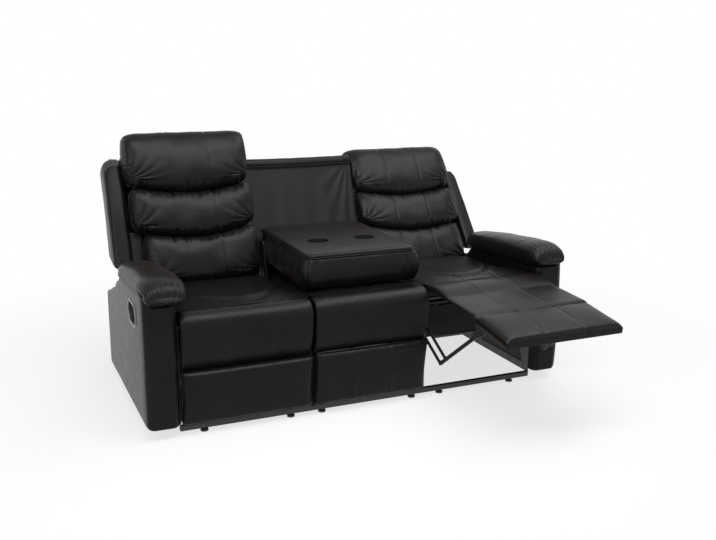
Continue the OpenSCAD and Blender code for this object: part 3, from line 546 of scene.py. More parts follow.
@dataclass(frozen=True)
class Lining:
    """Woven black cloth, for nodes that the record lines with it."""

    name: str
    tone: Tone = (0.016, 0.016, 0.017)
    pitch: float = 0.0011
    lift: float = 2.1

    def build(self) -> bpy.types.Material:
        """Makes the material.

        Returns:
            The material.
        """
        nodes = Nodes(self.name, 0.85, 0.25)
        lit = tuple(value * self.lift for value in self.tone)
        nodes.colours(nodes.ramp(nodes.cloud(150.0, 4.0), 0.0, 1.0), self.tone, lit)
        for direction in ("X", "Y", "Z"):
            weave = nodes.add("ShaderNodeTexWave", bands_direction=direction)
            weave.inputs["Scale"].default_value = math.pi / 10 / self.pitch
            weave.inputs["Distortion"].default_value = 0.6
            nodes.join(nodes.place, weave.inputs["Vector"])
            nodes.bump(weave.outputs["Fac"], 0.0003, 0.3)
        nodes.shader.inputs["Sheen Weight"].default_value = 0.15
        return nodes.material


@dataclass
class Finishes:
    """All finishes of the sofa, each made once."""

    leather: bpy.types.Material = field(init=False)
    leather_lit: bpy.types.Material = field(init=False)
    lining: bpy.types.Material = field(init=False)
    steel: bpy.types.Material = field(init=False)
    wire: bpy.types.Material = field(init=False)
    board: bpy.types.Material = field(init=False)
    plastic: bpy.types.Material = field(init=False)
    gloss: bpy.types.Material = field(init=False)
    bezel: bpy.types.Material = field(init=False)
    leather_soft: bpy.types.Material = field(init=False)
    leather_seat: bpy.types.Material = field(init=False)

    def __post_init__(self) -> None:
        """Builds the materials."""
        self.leather = Leather("leather", *MATT_TONES).build()
        # The same leather in lighter tones: painted light on the parts that face the lamps
        self.leather_lit = Leather("leather_worn", *PAINTED_LIT_TONES, rough=0.34).build()
        self.lining = Lining("lining").build()
        self.steel = PaintedSteel("painted_steel").build()
        self.wire = BareSteel("spring_wire").build()
        self.board = Board("board").build()
        self.plastic = Plastic("recess_plastic", (0.03, 0.03, 0.031), rough=0.42).build()
        self.gloss = Plastic("holder_plastic", (0.003, 0.003, 0.003), rough=0.5, shine=0.12).build()
        self.bezel = Plastic("bezel_plastic", (0.20, 0.20, 0.195), rough=0.32).build()
        self.leather_soft = Leather("leather_soft", *SOFT_TONES, rough=0.5).build()
        self.leather_seat = Leather(
            "leather_seat", *SEAT_TONES, rough=0.32, specular=0.09, bloom=0.006,
        ).build()

    def dress_nodes(self) -> None:
        """Gives every carried-over node the finish of its slot."""
        slots = {part["node"]: part["material_slot"] for part in frame["record"]["subparts"]}
        finishes = {
            "leather": self.leather, "leather_lining": self.lining, "steel_black": self.steel,
            "timber": self.board, "spring_steel": self.wire, "plastic_black": self.plastic,
            "holder_plastic": self.gloss,
        }
        for name, node in frame["nodes"].items():
            node.data.materials.clear()
            node.data.materials.append(self.leather if name.endswith("seat_box") else finishes[slots[name]])


# Frames that pieces are drawn in

@dataclass(frozen=True)
class PanelFrame:
    """A panel's own frame in the side plane: u runs along it and v stands out of its face."""

    y: float
    z: float
    angle: float

    def place(self, x: float, u: float, v: float) -> Vector:
        """The point at x, u and v, in the sofa's frame."""
        turn = math.radians(self.angle)
        return Vector((
            x,
            self.y + u * math.cos(turn) + v * math.sin(turn),
            self.z + u * math.sin(turn) - v * math.cos(turn),
        ))


@dataclass(frozen=True)
class BackFrame:
    """The frame of a leaning back: its foot line is the origin, Y its rear and Z its height."""

    recline: float = 0.0
    lean: float = 24.0
    foot_y: float = 0.620
    foot_z: float = 0.340
    hinge_y: float = 0.440
    hinge_z: float = 0.352

    def matrix(self) -> Matrix:
        """The turn and shift from the back's frame to the sofa's."""
        hinge = Vector((0, FRONT + self.hinge_y, self.hinge_z))
        foot = Vector((0, FRONT + self.foot_y, self.foot_z))
        turn = Matrix.Rotation(-math.radians(self.recline), 4, "X")
        lean = Matrix.Rotation(-math.radians(self.lean), 4, "X")
        return Matrix.Translation(hinge) @ turn @ Matrix.Translation(foot - hinge) @ lean


@dataclass(frozen=True)
class Curve:
    """A line through points of the side plane, followed by its own length."""

    points: tuple[tuple[float, float], ...]

    def at(self, t: float) -> tuple[float, float]:
        """The point at share t of the length.

        Args:
            t: the share of the length, from zero to one.

        Returns:
            The point's two coordinates, in metres.
        """
        steps = [math.dist(p, q) for p, q in zip(self.points, self.points[1:])]
        left = max(0.0, min(1.0, t)) * sum(steps)
        for (p, q), step in zip(zip(self.points, self.points[1:]), steps):
            if left <= step or (p, q) == (self.points[-2], self.points[-1]):
                share = left / step if step else 0.0
                return p[0] + (q[0] - p[0]) * share, p[1] + (q[1] - p[1]) * share
            left -= step
        return self.points[-1]


@dataclass(frozen=True)
class Bay:
    """The width that a seat and what belongs to it take up."""

    inner: float
    outer: float

    @property
    def middle(self) -> float:
        """The bay's middle."""
        return (self.inner + self.outer) / 2

    @property
    def half(self) -> float:
        """Half of the bay's width."""
        return (self.outer - self.inner) / 2

    def across(self, a: float) -> float:
        """The X at share a, from minus one to one."""
        return self.middle + a * self.half


# Seats

ROLL_Y = JOINTS["right_flap_turn"]["pos_m"][1]
ROLL_Z = JOINTS["right_flap_turn"]["pos_m"][2]


@dataclass(frozen=True)
class SeatCushion:
    """A crowned seat that rolls over the front, with a seam that curves across it behind its front."""

    name: str
    node: str
    bay: Bay
    finish: bpy.types.Material
    height: float = 0.495
    dip: float = 0.034
    crown: float = 0.010
    drop: float = 0.016
    lip_angle: float = 92.0
    seam_y: float = 0.099
    seam_rise: float = 0.33
    seam_shift: float = 0.07
    base: float = 0.3815
    rear: float = 0.566
    lip_radius: float = 0.0619
    hollow_radius: float = 0.0612
    hollow_share: float = 0.22
    roll_gap: float = 0.0625
    depth: float = 0.5
    press: float = 0.006
    edge_folds: Folds = Folds(depth=0.0022, pitch=0.028, reach=0.03)
    seam_folds: Folds = Folds(depth=0.0012, pitch=0.021, reach=0.018)
    wave_height: float = 0.0022
    wave_size: float = 0.11
    grid: tuple[int, int, int] = (72, 66, 8)

    def profile(self, t: float, a: float) -> tuple[float, float]:
        """The top of the seat at share t from its lip to its rear."""
        lip = math.radians(self.lip_angle)
        lip_y = ROLL_Y + self.lip_radius * math.cos(lip)
        y = lip_y + t * (FRONT + self.rear - lip_y)
        start = ROLL_Z + self.lip_radius * math.sin(lip)
        rise = (self.height - start + 0.001) * blend_value(-0.1, 0.30, t)
        crown = self.crown * (1 - a ** 4) * blend_value(0.0, 0.32, t)
        return y, start + rise - self.dip * blend_value(0.05, 0.75, t) + crown

    def under(self, t: float) -> tuple[float, float]:
        """The underside at share t: the hollow over the roll, then the flat base."""
        turn = self.hollow_share
        if t < turn:
            angle = math.radians(self.lip_angle - (self.lip_angle + 14) * t / turn)
            back, up = self.hollow_radius * math.cos(angle), self.hollow_radius * math.sin(angle)
            return ROLL_Y + back, ROLL_Z + up
        front = ROLL_Y + self.roll_gap
        return front + (FRONT + self.rear - front) * (t - turn) / (1 - turn), self.base

    def shape(self, a: float, b: float, c: float) -> Vector:
        """The place of a point of the block.

        Args:
            a: the point's X in the block, from minus one to one.
            b: its Y.
            c: its Z.

        Returns:
            The point's place, in metres.
        """
        t = (b + 1) / 2
        top, base = self.profile(t, a), self.under(t)
        edge = 1 - self.drop / 0.11 * (1 - math.sqrt(1 - min(1.0, abs(a)) ** 14)) - 0.05 * abs(a) ** 5
        share = (c + 1) / 2 * (edge if t > 0.02 else 1.0)
        return Vector((
            self.bay.across(a),
            base[0] + (top[0] - base[0]) * share,
            base[1] + (top[1] - base[1]) * share,
        ))

    def relief(self, a: float, b: float, c: float) -> float:
        """Sewn lines, the curved seam and folds beside the edges and the seam.

        Args:
            a: the point's X in the block, from minus one to one.
            b: its Y.
            c: its Z.

        Returns:
            How far the point moves along its normal, in metres.
        """
        if c < 0.9:
            return 0.0
        t = (b + 1) / 2
        depth = t * self.depth
        side = (1 - abs(a)) * self.bay.half
        lean = a * math.copysign(1, self.bay.middle) if abs(self.bay.middle) > 0.1 else a
        away = self.profile(t, a)[0] - FRONT - self.seam_y - self.seam_rise * (lean + self.seam_shift) ** 2
        ends = blend_value(1.0, 0.84, abs(a))
        press = -self.press * dent(away, 0.011) * ends
        plump = 0.003 * dent(away + 0.05, 0.04) + 0.008 * dent(away - 0.034, 0.030) * ends
        folds = self.edge_folds.sharp(depth, a * 0.4 + 3, side)
        seam_folds = self.seam_folds.soft(a * self.bay.half, 8.0, away)
        place = Vector((a * self.bay.half, depth, 0))
        wave = self.wave_height * rumple(place, self.wave_size, self.bay.middle * 7)
        sewn = stitch_dent(self.bay.half, a, SEAT_SEWN_DEPTH)
        return press + plump + folds + seam_folds + wave - sewn

    def build(self) -> bpy.types.Object:
        """Makes the cushion."""
        piece = link_mesh(padded_mesh(self.grid, self.shape, self.relief), self.name, self.finish)
        smooth_out(piece)
        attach(piece, "frame")
        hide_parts(self.node)
        return piece


@dataclass(frozen=True)
class Flap:
    """The roll and the padded flap that hangs from it, or lies open in front of the seat."""

    name: str
    nodes: tuple[str, ...]
    body: str
    bay: Bay
    angle: float
    length: float
    finish: bpy.types.Material
    radius: float = 0.0607
    core: float = 0.6
    reach: float = 142.0
    pad_length: float = 0.168
    crown: float = 0.014
    tip: float = 0.010
    side_folds: Folds = Folds(depth=0.0012, pitch=0.022, reach=0.022)
    tip_folds: Folds = Folds(depth=0.0016, pitch=0.024, reach=0.02)
    wave_height: float = 0.0016
    wave_size: float = 0.09
    grid: tuple[int, int, int] = (54, 66, 3)

    def line(self, t: float) -> tuple[float, float, float, float]:
        """The outer and the inner point of the flap at share t, as u and v pairs.

        Args:
            t: the share of the flap's length, from zero to one.

        Returns:
            The outer u and v, then the inner u and v, in metres.
        """
        roll = math.radians(self.reach) * self.radius
        run = t * (roll + self.length) - roll
        if run < 0:
            turn = -run / self.radius
            sine, cosine = math.sin(turn), math.cos(turn)
            deep = self.radius * self.core
            return -self.radius * sine, self.radius * cosine, -deep * sine, deep * cosine
        share = run / self.length
        bump = 0.0
        if run < self.pad_length:
            bump = self.crown * math.sin(math.pi * min(1.0, run / self.pad_length)) ** 0.8
        tip = self.tip * blend_value(self.length - 0.02, self.length, run)
        inner = self.radius * (self.core + 0.15 * min(1.0, share * 2))
        return run, self.radius + bump - tip, run, inner

    def shape(self, a: float, b: float, c: float) -> Vector:
        """The place of a point of the block."""
        u, v, inner_u, inner_v = self.line((b + 1) / 2)
        share = (c + 1) / 2 * (1 - 0.22 * (1 - math.sqrt(1 - min(1.0, abs(a)) ** 18)))
        panel = PanelFrame(ROLL_Y, ROLL_Z, self.angle)
        u, v = inner_u + (u - inner_u) * share, inner_v + (v - inner_v) * share
        return panel.place(self.bay.across(a), u, v)

    def relief(self, a: float, b: float, c: float) -> float:
        """Sewn lines, soft waves and small folds at the edges and beside the crease.

        Args:
            a: the point's X in the block, from minus one to one.
            b: its Y.
            c: its Z.

        Returns:
            How far the point moves along its normal, in metres.
        """
        if c < 0.9:
            return 0.0
        roll = math.radians(self.reach) * self.radius
        run = (b + 1) / 2 * (roll + self.length) - roll
        side = (1 - abs(a)) * self.bay.half
        folds = self.side_folds.soft(run, 2 + self.bay.middle, side)
        tip = self.tip_folds.soft(a * self.bay.half, 4.0, self.length - run)
        place = Vector((a * self.bay.half, run, 0))
        wave = self.wave_height * rumple(place, self.wave_size, self.bay.middle * 3)
        on_panel = blend_value(-0.03, 0.01, run)
        sewn = stitch_dent(self.bay.half, a, SEAT_SEWN_DEPTH)
        return (folds + tip + wave) * on_panel - sewn * (0.4 + 0.6 * on_panel)

    def build(self) -> bpy.types.Object:
        """Makes the flap."""
        piece = link_mesh(padded_mesh(self.grid, self.shape, self.relief), self.name, self.finish)
        smooth_out(piece)
        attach(piece, self.body)
        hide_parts(*self.nodes)
        return piece


@dataclass(frozen=True)
class FrontPad:
    """A lower front panel: the padded face of a footrest, or the fixed one under the middle seat."""

    name: str
    node: str
    body: str
    bay: Bay
    panel: PanelFrame
    finish: bpy.types.Material
    length: float = 0.222
    thick: float = 0.0295
    crown: float = 0.009
    lead: float = 0.0
    wrap: float = 0.0115
    side_folds: Folds = Folds(depth=0.0011, pitch=0.02, reach=0.02)
    end_folds: Folds = Folds(depth=0.0016, pitch=0.023, reach=0.016)
    wave_height: float = 0.0014
    wave_size: float = 0.08
    grid: tuple[int, int, int] = (66, 30, 6)

    def shape(self, a: float, b: float, c: float) -> Vector:
        """The place of a point of the block.

        Args:
            a: the point's X in the block, from minus one to one.
            b: its Y.
            c: its Z.

        Returns:
            The point's place, in metres.
        """
        rim = math.sqrt((1 - abs(b) ** 22) * (1 - abs(a) ** 24)) if c > -0.99 else 0.0
        u = self.length * (b + 1) / 2 - self.lead * blend_value(-0.9, -1.0, b)
        u += 0.003 * blend_value(0.94, 1.0, b)
        wrap = self.wrap * blend_value(0.985, 1.0, b) * (1 - c) / 2
        v = -self.thick - wrap + self.thick * (c + 1) / 2 * (0.55 + 0.45 * rim)
        v += self.crown * (1 - b * b) * (1 - a ** 6) * (c + 1) / 2
        pull = 0.003 * (1 - b * b) * abs(a) ** 3 * math.copysign(1, a)
        return self.panel.place(self.bay.across(a) - pull, u, v)

    def relief(self, a: float, b: float, c: float) -> float:
        """Sewn lines, small folds along the edges and soft waves.

        Args:
            a: the point's X in the block, from minus one to one.
            b: its Y.
            c: its Z.

        Returns:
            How far the point moves along its normal, in metres.
        """
        if c < 0.9:
            return 0.0
        u = self.length * (b + 1) / 2
        side = (1 - abs(a)) * self.bay.half
        end = min(u, self.length - u)
        folds = self.side_folds.soft(u, 6 + self.bay.middle, side)
        tops = self.end_folds.sharp(a * self.bay.half, 1.0 + self.bay.middle, end)
        place = Vector((a * self.bay.half, u, 0))
        wave = self.wave_height * rumple(place, self.wave_size, self.bay.middle * 5)
        return folds + tops + wave - stitch_dent(self.bay.half, a, SEAT_SEWN_DEPTH)

    def build(self) -> bpy.types.Object:
        """Makes the panel."""
        piece = link_mesh(padded_mesh(self.grid, self.shape, self.relief), self.name, self.finish)
        smooth_out(piece)
        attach(piece, self.body)
        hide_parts(self.node)
        return piece


@dataclass(frozen=True)
class Slab:
    """A thin padded cover over a board, such as the lower one at the rear, turned as a whole."""

    name: str
    body: str
    low: Vector
    high: Vector
    face_axis: int
    face_sign: int
    finish: bpy.types.Material
    slot: str = "leather"
    nodes: tuple[str, ...] = ()
    puff: float = 0.005
    seams: tuple[float, ...] = ()
    turn: Matrix = field(default_factory=lambda: Matrix.Identity(4))
    edge_folds: Folds = Folds(depth=0.001, pitch=0.03, reach=0.025)
    wave_height: float = 0.0016
    wave_size: float = 0.13
    grid: tuple[int, int] = (60, 30)
    thick_cuts: int = 4

    def cuts(self) -> list[int]:
        """Faces along the three axes, one of which is the thickness."""
        found = list(self.grid)
        found.insert(self.face_axis, self.thick_cuts)
        return found

    def shape(self, *unit: float) -> Vector:
        """The place of a point of the block."""
        place = Vector(low + (high - low) * (u + 1) / 2 for low, high, u in zip(self.low, self.high, unit))
        flat = [abs(u) for axis, u in enumerate(unit) if axis != self.face_axis]
        rim = math.sqrt((1 - flat[0] ** 30) * (1 - flat[1] ** 22))
        if unit[self.face_axis] * self.face_sign > 0.4:
            thick = self.high[self.face_axis] - self.low[self.face_axis]
            lift = self.puff * (1 - flat[0] ** 4) * (1 - flat[1] ** 4) - (1 - rim) * thick * 0.55
            place[self.face_axis] += self.face_sign * lift * abs(unit[self.face_axis])
        return place

    def relief(self, *unit: float) -> float:
        """Sewn lines and soft waves on the face."""
        if unit[self.face_axis] * self.face_sign < 0.9:
            return 0.0
        across = 0 if self.face_axis != 0 else 1
        half = (self.high[across] - self.low[across]) / 2
        sewn = stitch_dent(half, unit[across], shares=self.seams)
        place = Vector((unit[0] * half, unit[1] * half, unit[2] * half))
        edge = min((1 - abs(u)) for axis, u in enumerate(unit) if axis != self.face_axis) * half
        folds = self.edge_folds.soft(place.x + place.y + place.z, half, edge)
        return self.wave_height * rumple(place, self.wave_size, half * 9) + folds - sewn

    def build(self) -> bpy.types.Object:
        """Makes the slab.

        Returns:
            The piece.
        """
        bm = padded_mesh(self.cuts(), self.shape, self.relief)
        bmesh.ops.transform(bm, matrix=self.turn, verts=bm.verts)
        piece = link_mesh(bm, self.name, self.finish)
        smooth_out(piece)
        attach(piece, self.body)
        if self.nodes:
            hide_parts(*self.nodes)
        return piece


# Arms

@dataclass(frozen=True)
class Arm:
    """An upholstered arm: the boxed body, its stuffed pad, the welt and the handle's bezel."""

    side: Side
    finishes: Finishes
    inner: float = 0.798
    outer: float = 0.930
    depth: float = 0.880
    height: float = 0.532
    middle_height: float = 0.500
    rear_height: float = 0.385
    floor_gap: float = 0.043
    bow: float = 0.008
    corner: float = 0.026
    pad_over: float = 0.026
    pad_length: float = 0.612
    pad_half: float = 0.089
    pad_middle: float = 0.845
    pad_thick: float = 0.104
    pad_rear_thick: float = 0.078
    cup_y: float = 0.205
    cup_z: float = 0.462
    cup_length: float = 0.150
    cup_height: float = 0.084
    lip_height: float = 0.046
    pad_power: float = 2.7
    nose: float = 0.2
    welt_radius: float = 0.0034
    welt_points: int = 40
    nose_gathers: Folds = Folds(depth=0.0050, pitch=0.023, reach=0.075)
    front_gathers: Folds = Folds(depth=0.0062, pitch=0.021, reach=0.06)
    outer_gathers: Folds = Folds(depth=0.0036, pitch=0.021, reach=0.3)
    inner_gathers: Folds = Folds(depth=0.0016, pitch=0.021, reach=0.3)
    crease_depth: float = 0.0030
    crease_pitch: float = 0.045
    sewn_depth: float = 0.0024
    sewn_width: float = 0.003
    sewn_places: tuple[float, float] = (0.150, 0.162)

    def top(self, y: float) -> float:
        """The height of the arm's top at a distance behind its front."""
        pad_end = self.pad_length - self.pad_over
        if y <= pad_end:
            return self.height + (self.middle_height - self.height) * max(0.0, y) / pad_end
        share = (y - pad_end) / (self.depth - pad_end)
        knee = self.middle_height - 0.038 * blend_value(0.0, 0.14, share)
        return knee + (self.rear_height - knee) * blend_value(0.05, 1.1, share)

    def lip(self, y: float) -> float:
        """How far the outer side rises over the arm's top, up to the welt."""
        return self.lip_height * blend_value(0.0, 0.022, y) * blend_value(0.585, 0.46, y)

    def body_shape(self, a: float, b: float, c: float) -> Vector:
        """The place of a point of the arm's body.

        Args:
            a: the point's X in the block, from minus one to one.
            b: its Y.
            c: its Z.

        Returns:
            The point's place, in metres.
        """
        y = self.depth * (b + 1) / 2
        t = (c + 1) / 2
        front = self.bow * (2 * t - 1) ** 2
        y = front + y * (self.depth - front) / self.depth
        top = self.top(y) + self.lip(y) * blend_value(0.70, 0.93, a)
        z = self.floor_gap + (top - self.floor_gap) * t
        half = (self.outer - self.inner) / 2
        near = min(y - front, self.depth - y)
        inset = 0.0
        if near < self.corner:
            inset = self.corner - math.sqrt(max(0.0, self.corner ** 2 - (self.corner - near) ** 2))
        rim = 0.006 * (1 - math.sqrt(1 - min(1.0, abs(2 * t - 1)) ** 40))
        return Vector(((self.inner + self.outer) / 2 + a * (half - inset * 0.9 - rim), FRONT + y, z))

    def body_relief(self, a: float, b: float, c: float) -> float:
        """The soft face of the arm, its sewn front edge and folds under the pad."""
        y = self.depth * (b + 1) / 2
        z = self.floor_gap + (self.top(y) - self.floor_gap) * (c + 1) / 2
        swollen = 0.003 * (1 - c ** 4) * (1 - b ** 4) if abs(a) > 0.9 else 0.0
        seam = -0.0025 * dent(y - 0.030, 0.0035) if a > 0.9 else 0.0
        under_pad = fade(self.top(y) - z, 0.03) * 0.0022 * puckers(y + a * 0.07, 0.028, 3.0)
        wave = 0.0014 * rumple(Vector((a * 0.07, y, z)), 0.22, 4.0 * self.side.value)
        return swollen + seam + wave + (under_pad if y < 0.58 and a < 0.5 else 0.0)

    def stadium(self, grow: float, low: float, high: float, segments: int = 48) -> bmesh.types.BMesh:
        """A solid of stadium section across the arm, around the handle's recess.

        Args:
            grow: how far it stands outside the recess, in metres.
            low: its inner end.
            high: its outer end.
            segments: faces around it.

        Returns:
            The new bmesh, on the viewer's right.
        """
        bm = bmesh.new()
        radius = self.cup_height / 2 + grow
        bmesh.ops.create_cone(
            bm, cap_ends=True, segments=segments, radius1=radius, radius2=radius, depth=high - low)
        bmesh.ops.rotate(bm, matrix=Matrix.Rotation(math.pi / 2, 3, "Y"), verts=bm.verts)
        stretch = (self.cup_length - self.cup_height) / 2
        for vert in bm.verts:
            vert.co.y += math.copysign(stretch, vert.co.y + 1e-6)
        bmesh.ops.translate(bm, vec=((low + high) / 2, FRONT + self.cup_y, self.cup_z), verts=bm.verts)
        if self.side is Side.LEFT:
            bmesh.ops.scale(bm, vec=(-1, 1, 1), verts=bm.verts)
        return bm

    def body(self) -> bpy.types.Object:
        """The upholstered box of the arm, open where the handle's recess sits.

        Returns:
            The piece.
        """
        bm = padded_mesh((10, 60, 40), self.body_shape, self.body_relief, self.side is Side.LEFT)
        piece = link_mesh(bm, f"{self.side.word}_arm_upholstery", self.finishes.leather_lit)
        smooth_out(piece)
        cut_with(piece, self.stadium(0.0002, self.outer - 0.036, self.outer + 0.02))
        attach(piece, "frame")
        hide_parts(f"{self.side.word}_arm_body")
        return piece

    def pad_shape(self, a: float, b: float, c: float) -> Vector:
        """The place of a point of the stuffed pad.

        Args:
            a: the point's X in the block, from minus one to one.
            b: its Y.
            c: its Z.

        Returns:
            The point's place, in metres.
        """
        t = (b + 1) / 2
        lead = 1 - min(1.0, t / self.nose)
        rise = 1 - (1 - self.pad_rear_thick / self.pad_thick) * t ** 3.0
        rise *= 0.40 + 0.60 * math.sqrt(1 - lead ** 2)
        girth = 0.70 + 0.30 * math.sqrt(1 - lead ** 2)
        if t > 0.8:
            girth *= 1 - 0.22 * ((t - 0.8) * 5) ** 2
        across, up = superellipse(a, c, self.pad_power)
        reach = max(abs(a), abs(c))
        y = -self.pad_over + self.pad_length * t
        if b < -0.99:
            y -= 0.012 * (1 - reach * reach)
        low = self.top(max(y, 0.0)) + 0.0005
        nose_lift = 0.012 * blend_value(0.010, -0.020, y) * blend_value(0.6, -0.8, up)
        z = low + max(0.0, up + 0.9) / 1.9 * self.pad_thick * rise + nose_lift
        x = self.pad_middle + across * self.pad_half * girth
        welt = self.top(max(y, 0.0)) + self.lip(y)
        tucked = blend_value(welt + 0.004, welt - 0.006, z) * blend_value(0.0, 0.02, self.lip(y))
        x = min(x, self.outer + 0.005 - 0.022 * tucked)
        return Vector((x, FRONT + y, z))

    def pad_relief(self, a: float, b: float, c: float) -> float:
        """Gathers round the nose and along the outer seam, and two sewn lines on top.

        Args:
            a: the point's X in the block, from minus one to one.
            b: its Y.
            c: its Z.

        Returns:
            How far the point moves along its normal, in metres.
        """
        t = (b + 1) / 2
        y = t * self.pad_length
        up = (c + 1) / 2
        around = math.atan2(c, a)
        run = a * self.pad_half + (y if a > 0 else -y) * 0.6
        low = fade(max(0.0, up - 0.18), 0.28)
        gathers = self.nose_gathers.sharp(run, 5.0 + self.side.value, max(0.0, y - 0.01)) * low
        front = self.front_gathers.sharp(around * 0.09, 9.0, y) * (1 if b > -0.99 else 0.6)
        front *= blend_value(0.05, 0.4, max(abs(a), abs(c)))
        beside = self.outer_gathers if a > 0 else self.inner_gathers
        outer = beside.sharp(y, 12.0, max(0.0, up - 0.35)) * blend_value(0.3, 0.9, abs(a))
        folds = crease(y + 0.4 * up * self.pad_half, self.crease_pitch, 3.0 * self.side.value)
        folds = -self.crease_depth * folds * low * fade(max(0.0, y - 0.05), 0.2)
        first, second = self.sewn_places
        lines = dent(y - first, self.sewn_width) + dent(y - second, self.sewn_width)
        sewn = -self.sewn_depth * lines * blend_value(-0.6, 0.0, c)
        wave = 0.0022 * rumple(Vector((a * 0.09, y, up * 0.1)), 0.09, 2.0 * self.side.value)
        return gathers + front + outer + folds + sewn + wave

    def pad(self) -> bpy.types.Object:
        """The stuffed pad on the arm."""
        bm = padded_mesh((30, 92, 18), self.pad_shape, self.pad_relief, self.side is Side.LEFT)
        piece = link_mesh(bm, f"{self.side.word}_arm_cushion", self.finishes.leather_lit)
        smooth_out(piece)
        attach(piece, "frame")
        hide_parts(f"{self.side.word}_arm_pad")
        return piece

    def welt(self) -> bpy.types.Object:
        """The cord sewn in where the pad meets the arm's outer face.

        Returns:
            The piece.
        """
        points = []
        for k in range(self.welt_points + 1):
            y = 0.010 + self.pad_length * 0.84 * k / self.welt_points
            x = self.outer + 0.0015 - 0.024 * blend_value(0.032, 0.010, y)
            x -= 0.012 * blend_value(0.44, 0.53, y)
            points.append(Vector((x * self.side.value, FRONT + y, self.top(y) + self.lip(y) + 0.003)))
        cord = sweep(points, self.welt_radius)
        piece = link_mesh(cord, f"{self.side.word}_arm_welt", self.finishes.leather)
        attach(piece, "frame")
        return piece

    def bezel(self) -> bpy.types.Object:
        """The raised rim of the handle's recess.

        Returns:
            The piece.
        """
        outer = self.stadium(0.0055, self.outer + 0.0005, self.outer + 0.0052)
        faces = [f for f in outer.faces if abs(f.normal.x) > 0.9]
        ring = bmesh.ops.inset_region(outer, faces=faces, thickness=0.0065, use_even_offset=True)["faces"]
        caps = [f for f in outer.faces if abs(f.normal.x) > 0.9 and f not in ring]
        bmesh.ops.bridge_loops(outer, edges=[e for f in caps for e in f.edges])
        bmesh.ops.delete(outer, geom=caps, context="FACES_ONLY")
        piece = link_mesh(outer, f"{self.side.word}_handle_bezel", self.finishes.bezel, smooth=False)
        soften(piece, 0.0016)
        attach(piece, "frame")
        return piece

    def build(self) -> list[bpy.types.Object]:
        """Makes all pieces of the arm."""
        return [self.body(), self.pad(), self.welt(), self.bezel()]


def cut_with(piece: bpy.types.Object, cutter: bmesh.types.BMesh) -> None:
    """Cuts a closed form out of a piece, for good.

    Args:
        piece: the piece, whose other modifiers are applied too.
        cutter: the form to cut away. It is freed.
    """
    mesh = bpy.data.meshes.new("cutter")
    bmesh.ops.recalc_face_normals(cutter, faces=cutter.faces)
    cutter.to_mesh(mesh)
    cutter.free()
    knife = bpy.data.objects.new("cutter", mesh)
    bpy.context.scene.collection.objects.link(knife)
    cut = piece.modifiers.new("cut", "BOOLEAN")
    cut.operation = "DIFFERENCE"
    cut.solver = "EXACT"
    cut.object = knife
    bpy.context.view_layer.update()
    ready = bpy.data.meshes.new_from_object(piece.evaluated_get(bpy.context.evaluated_depsgraph_get()))
    ready.name = piece.name
    piece.modifiers.clear()
    piece.data = ready
    bpy.data.objects.remove(knife)
    bpy.data.meshes.remove(mesh)


# Outer backs

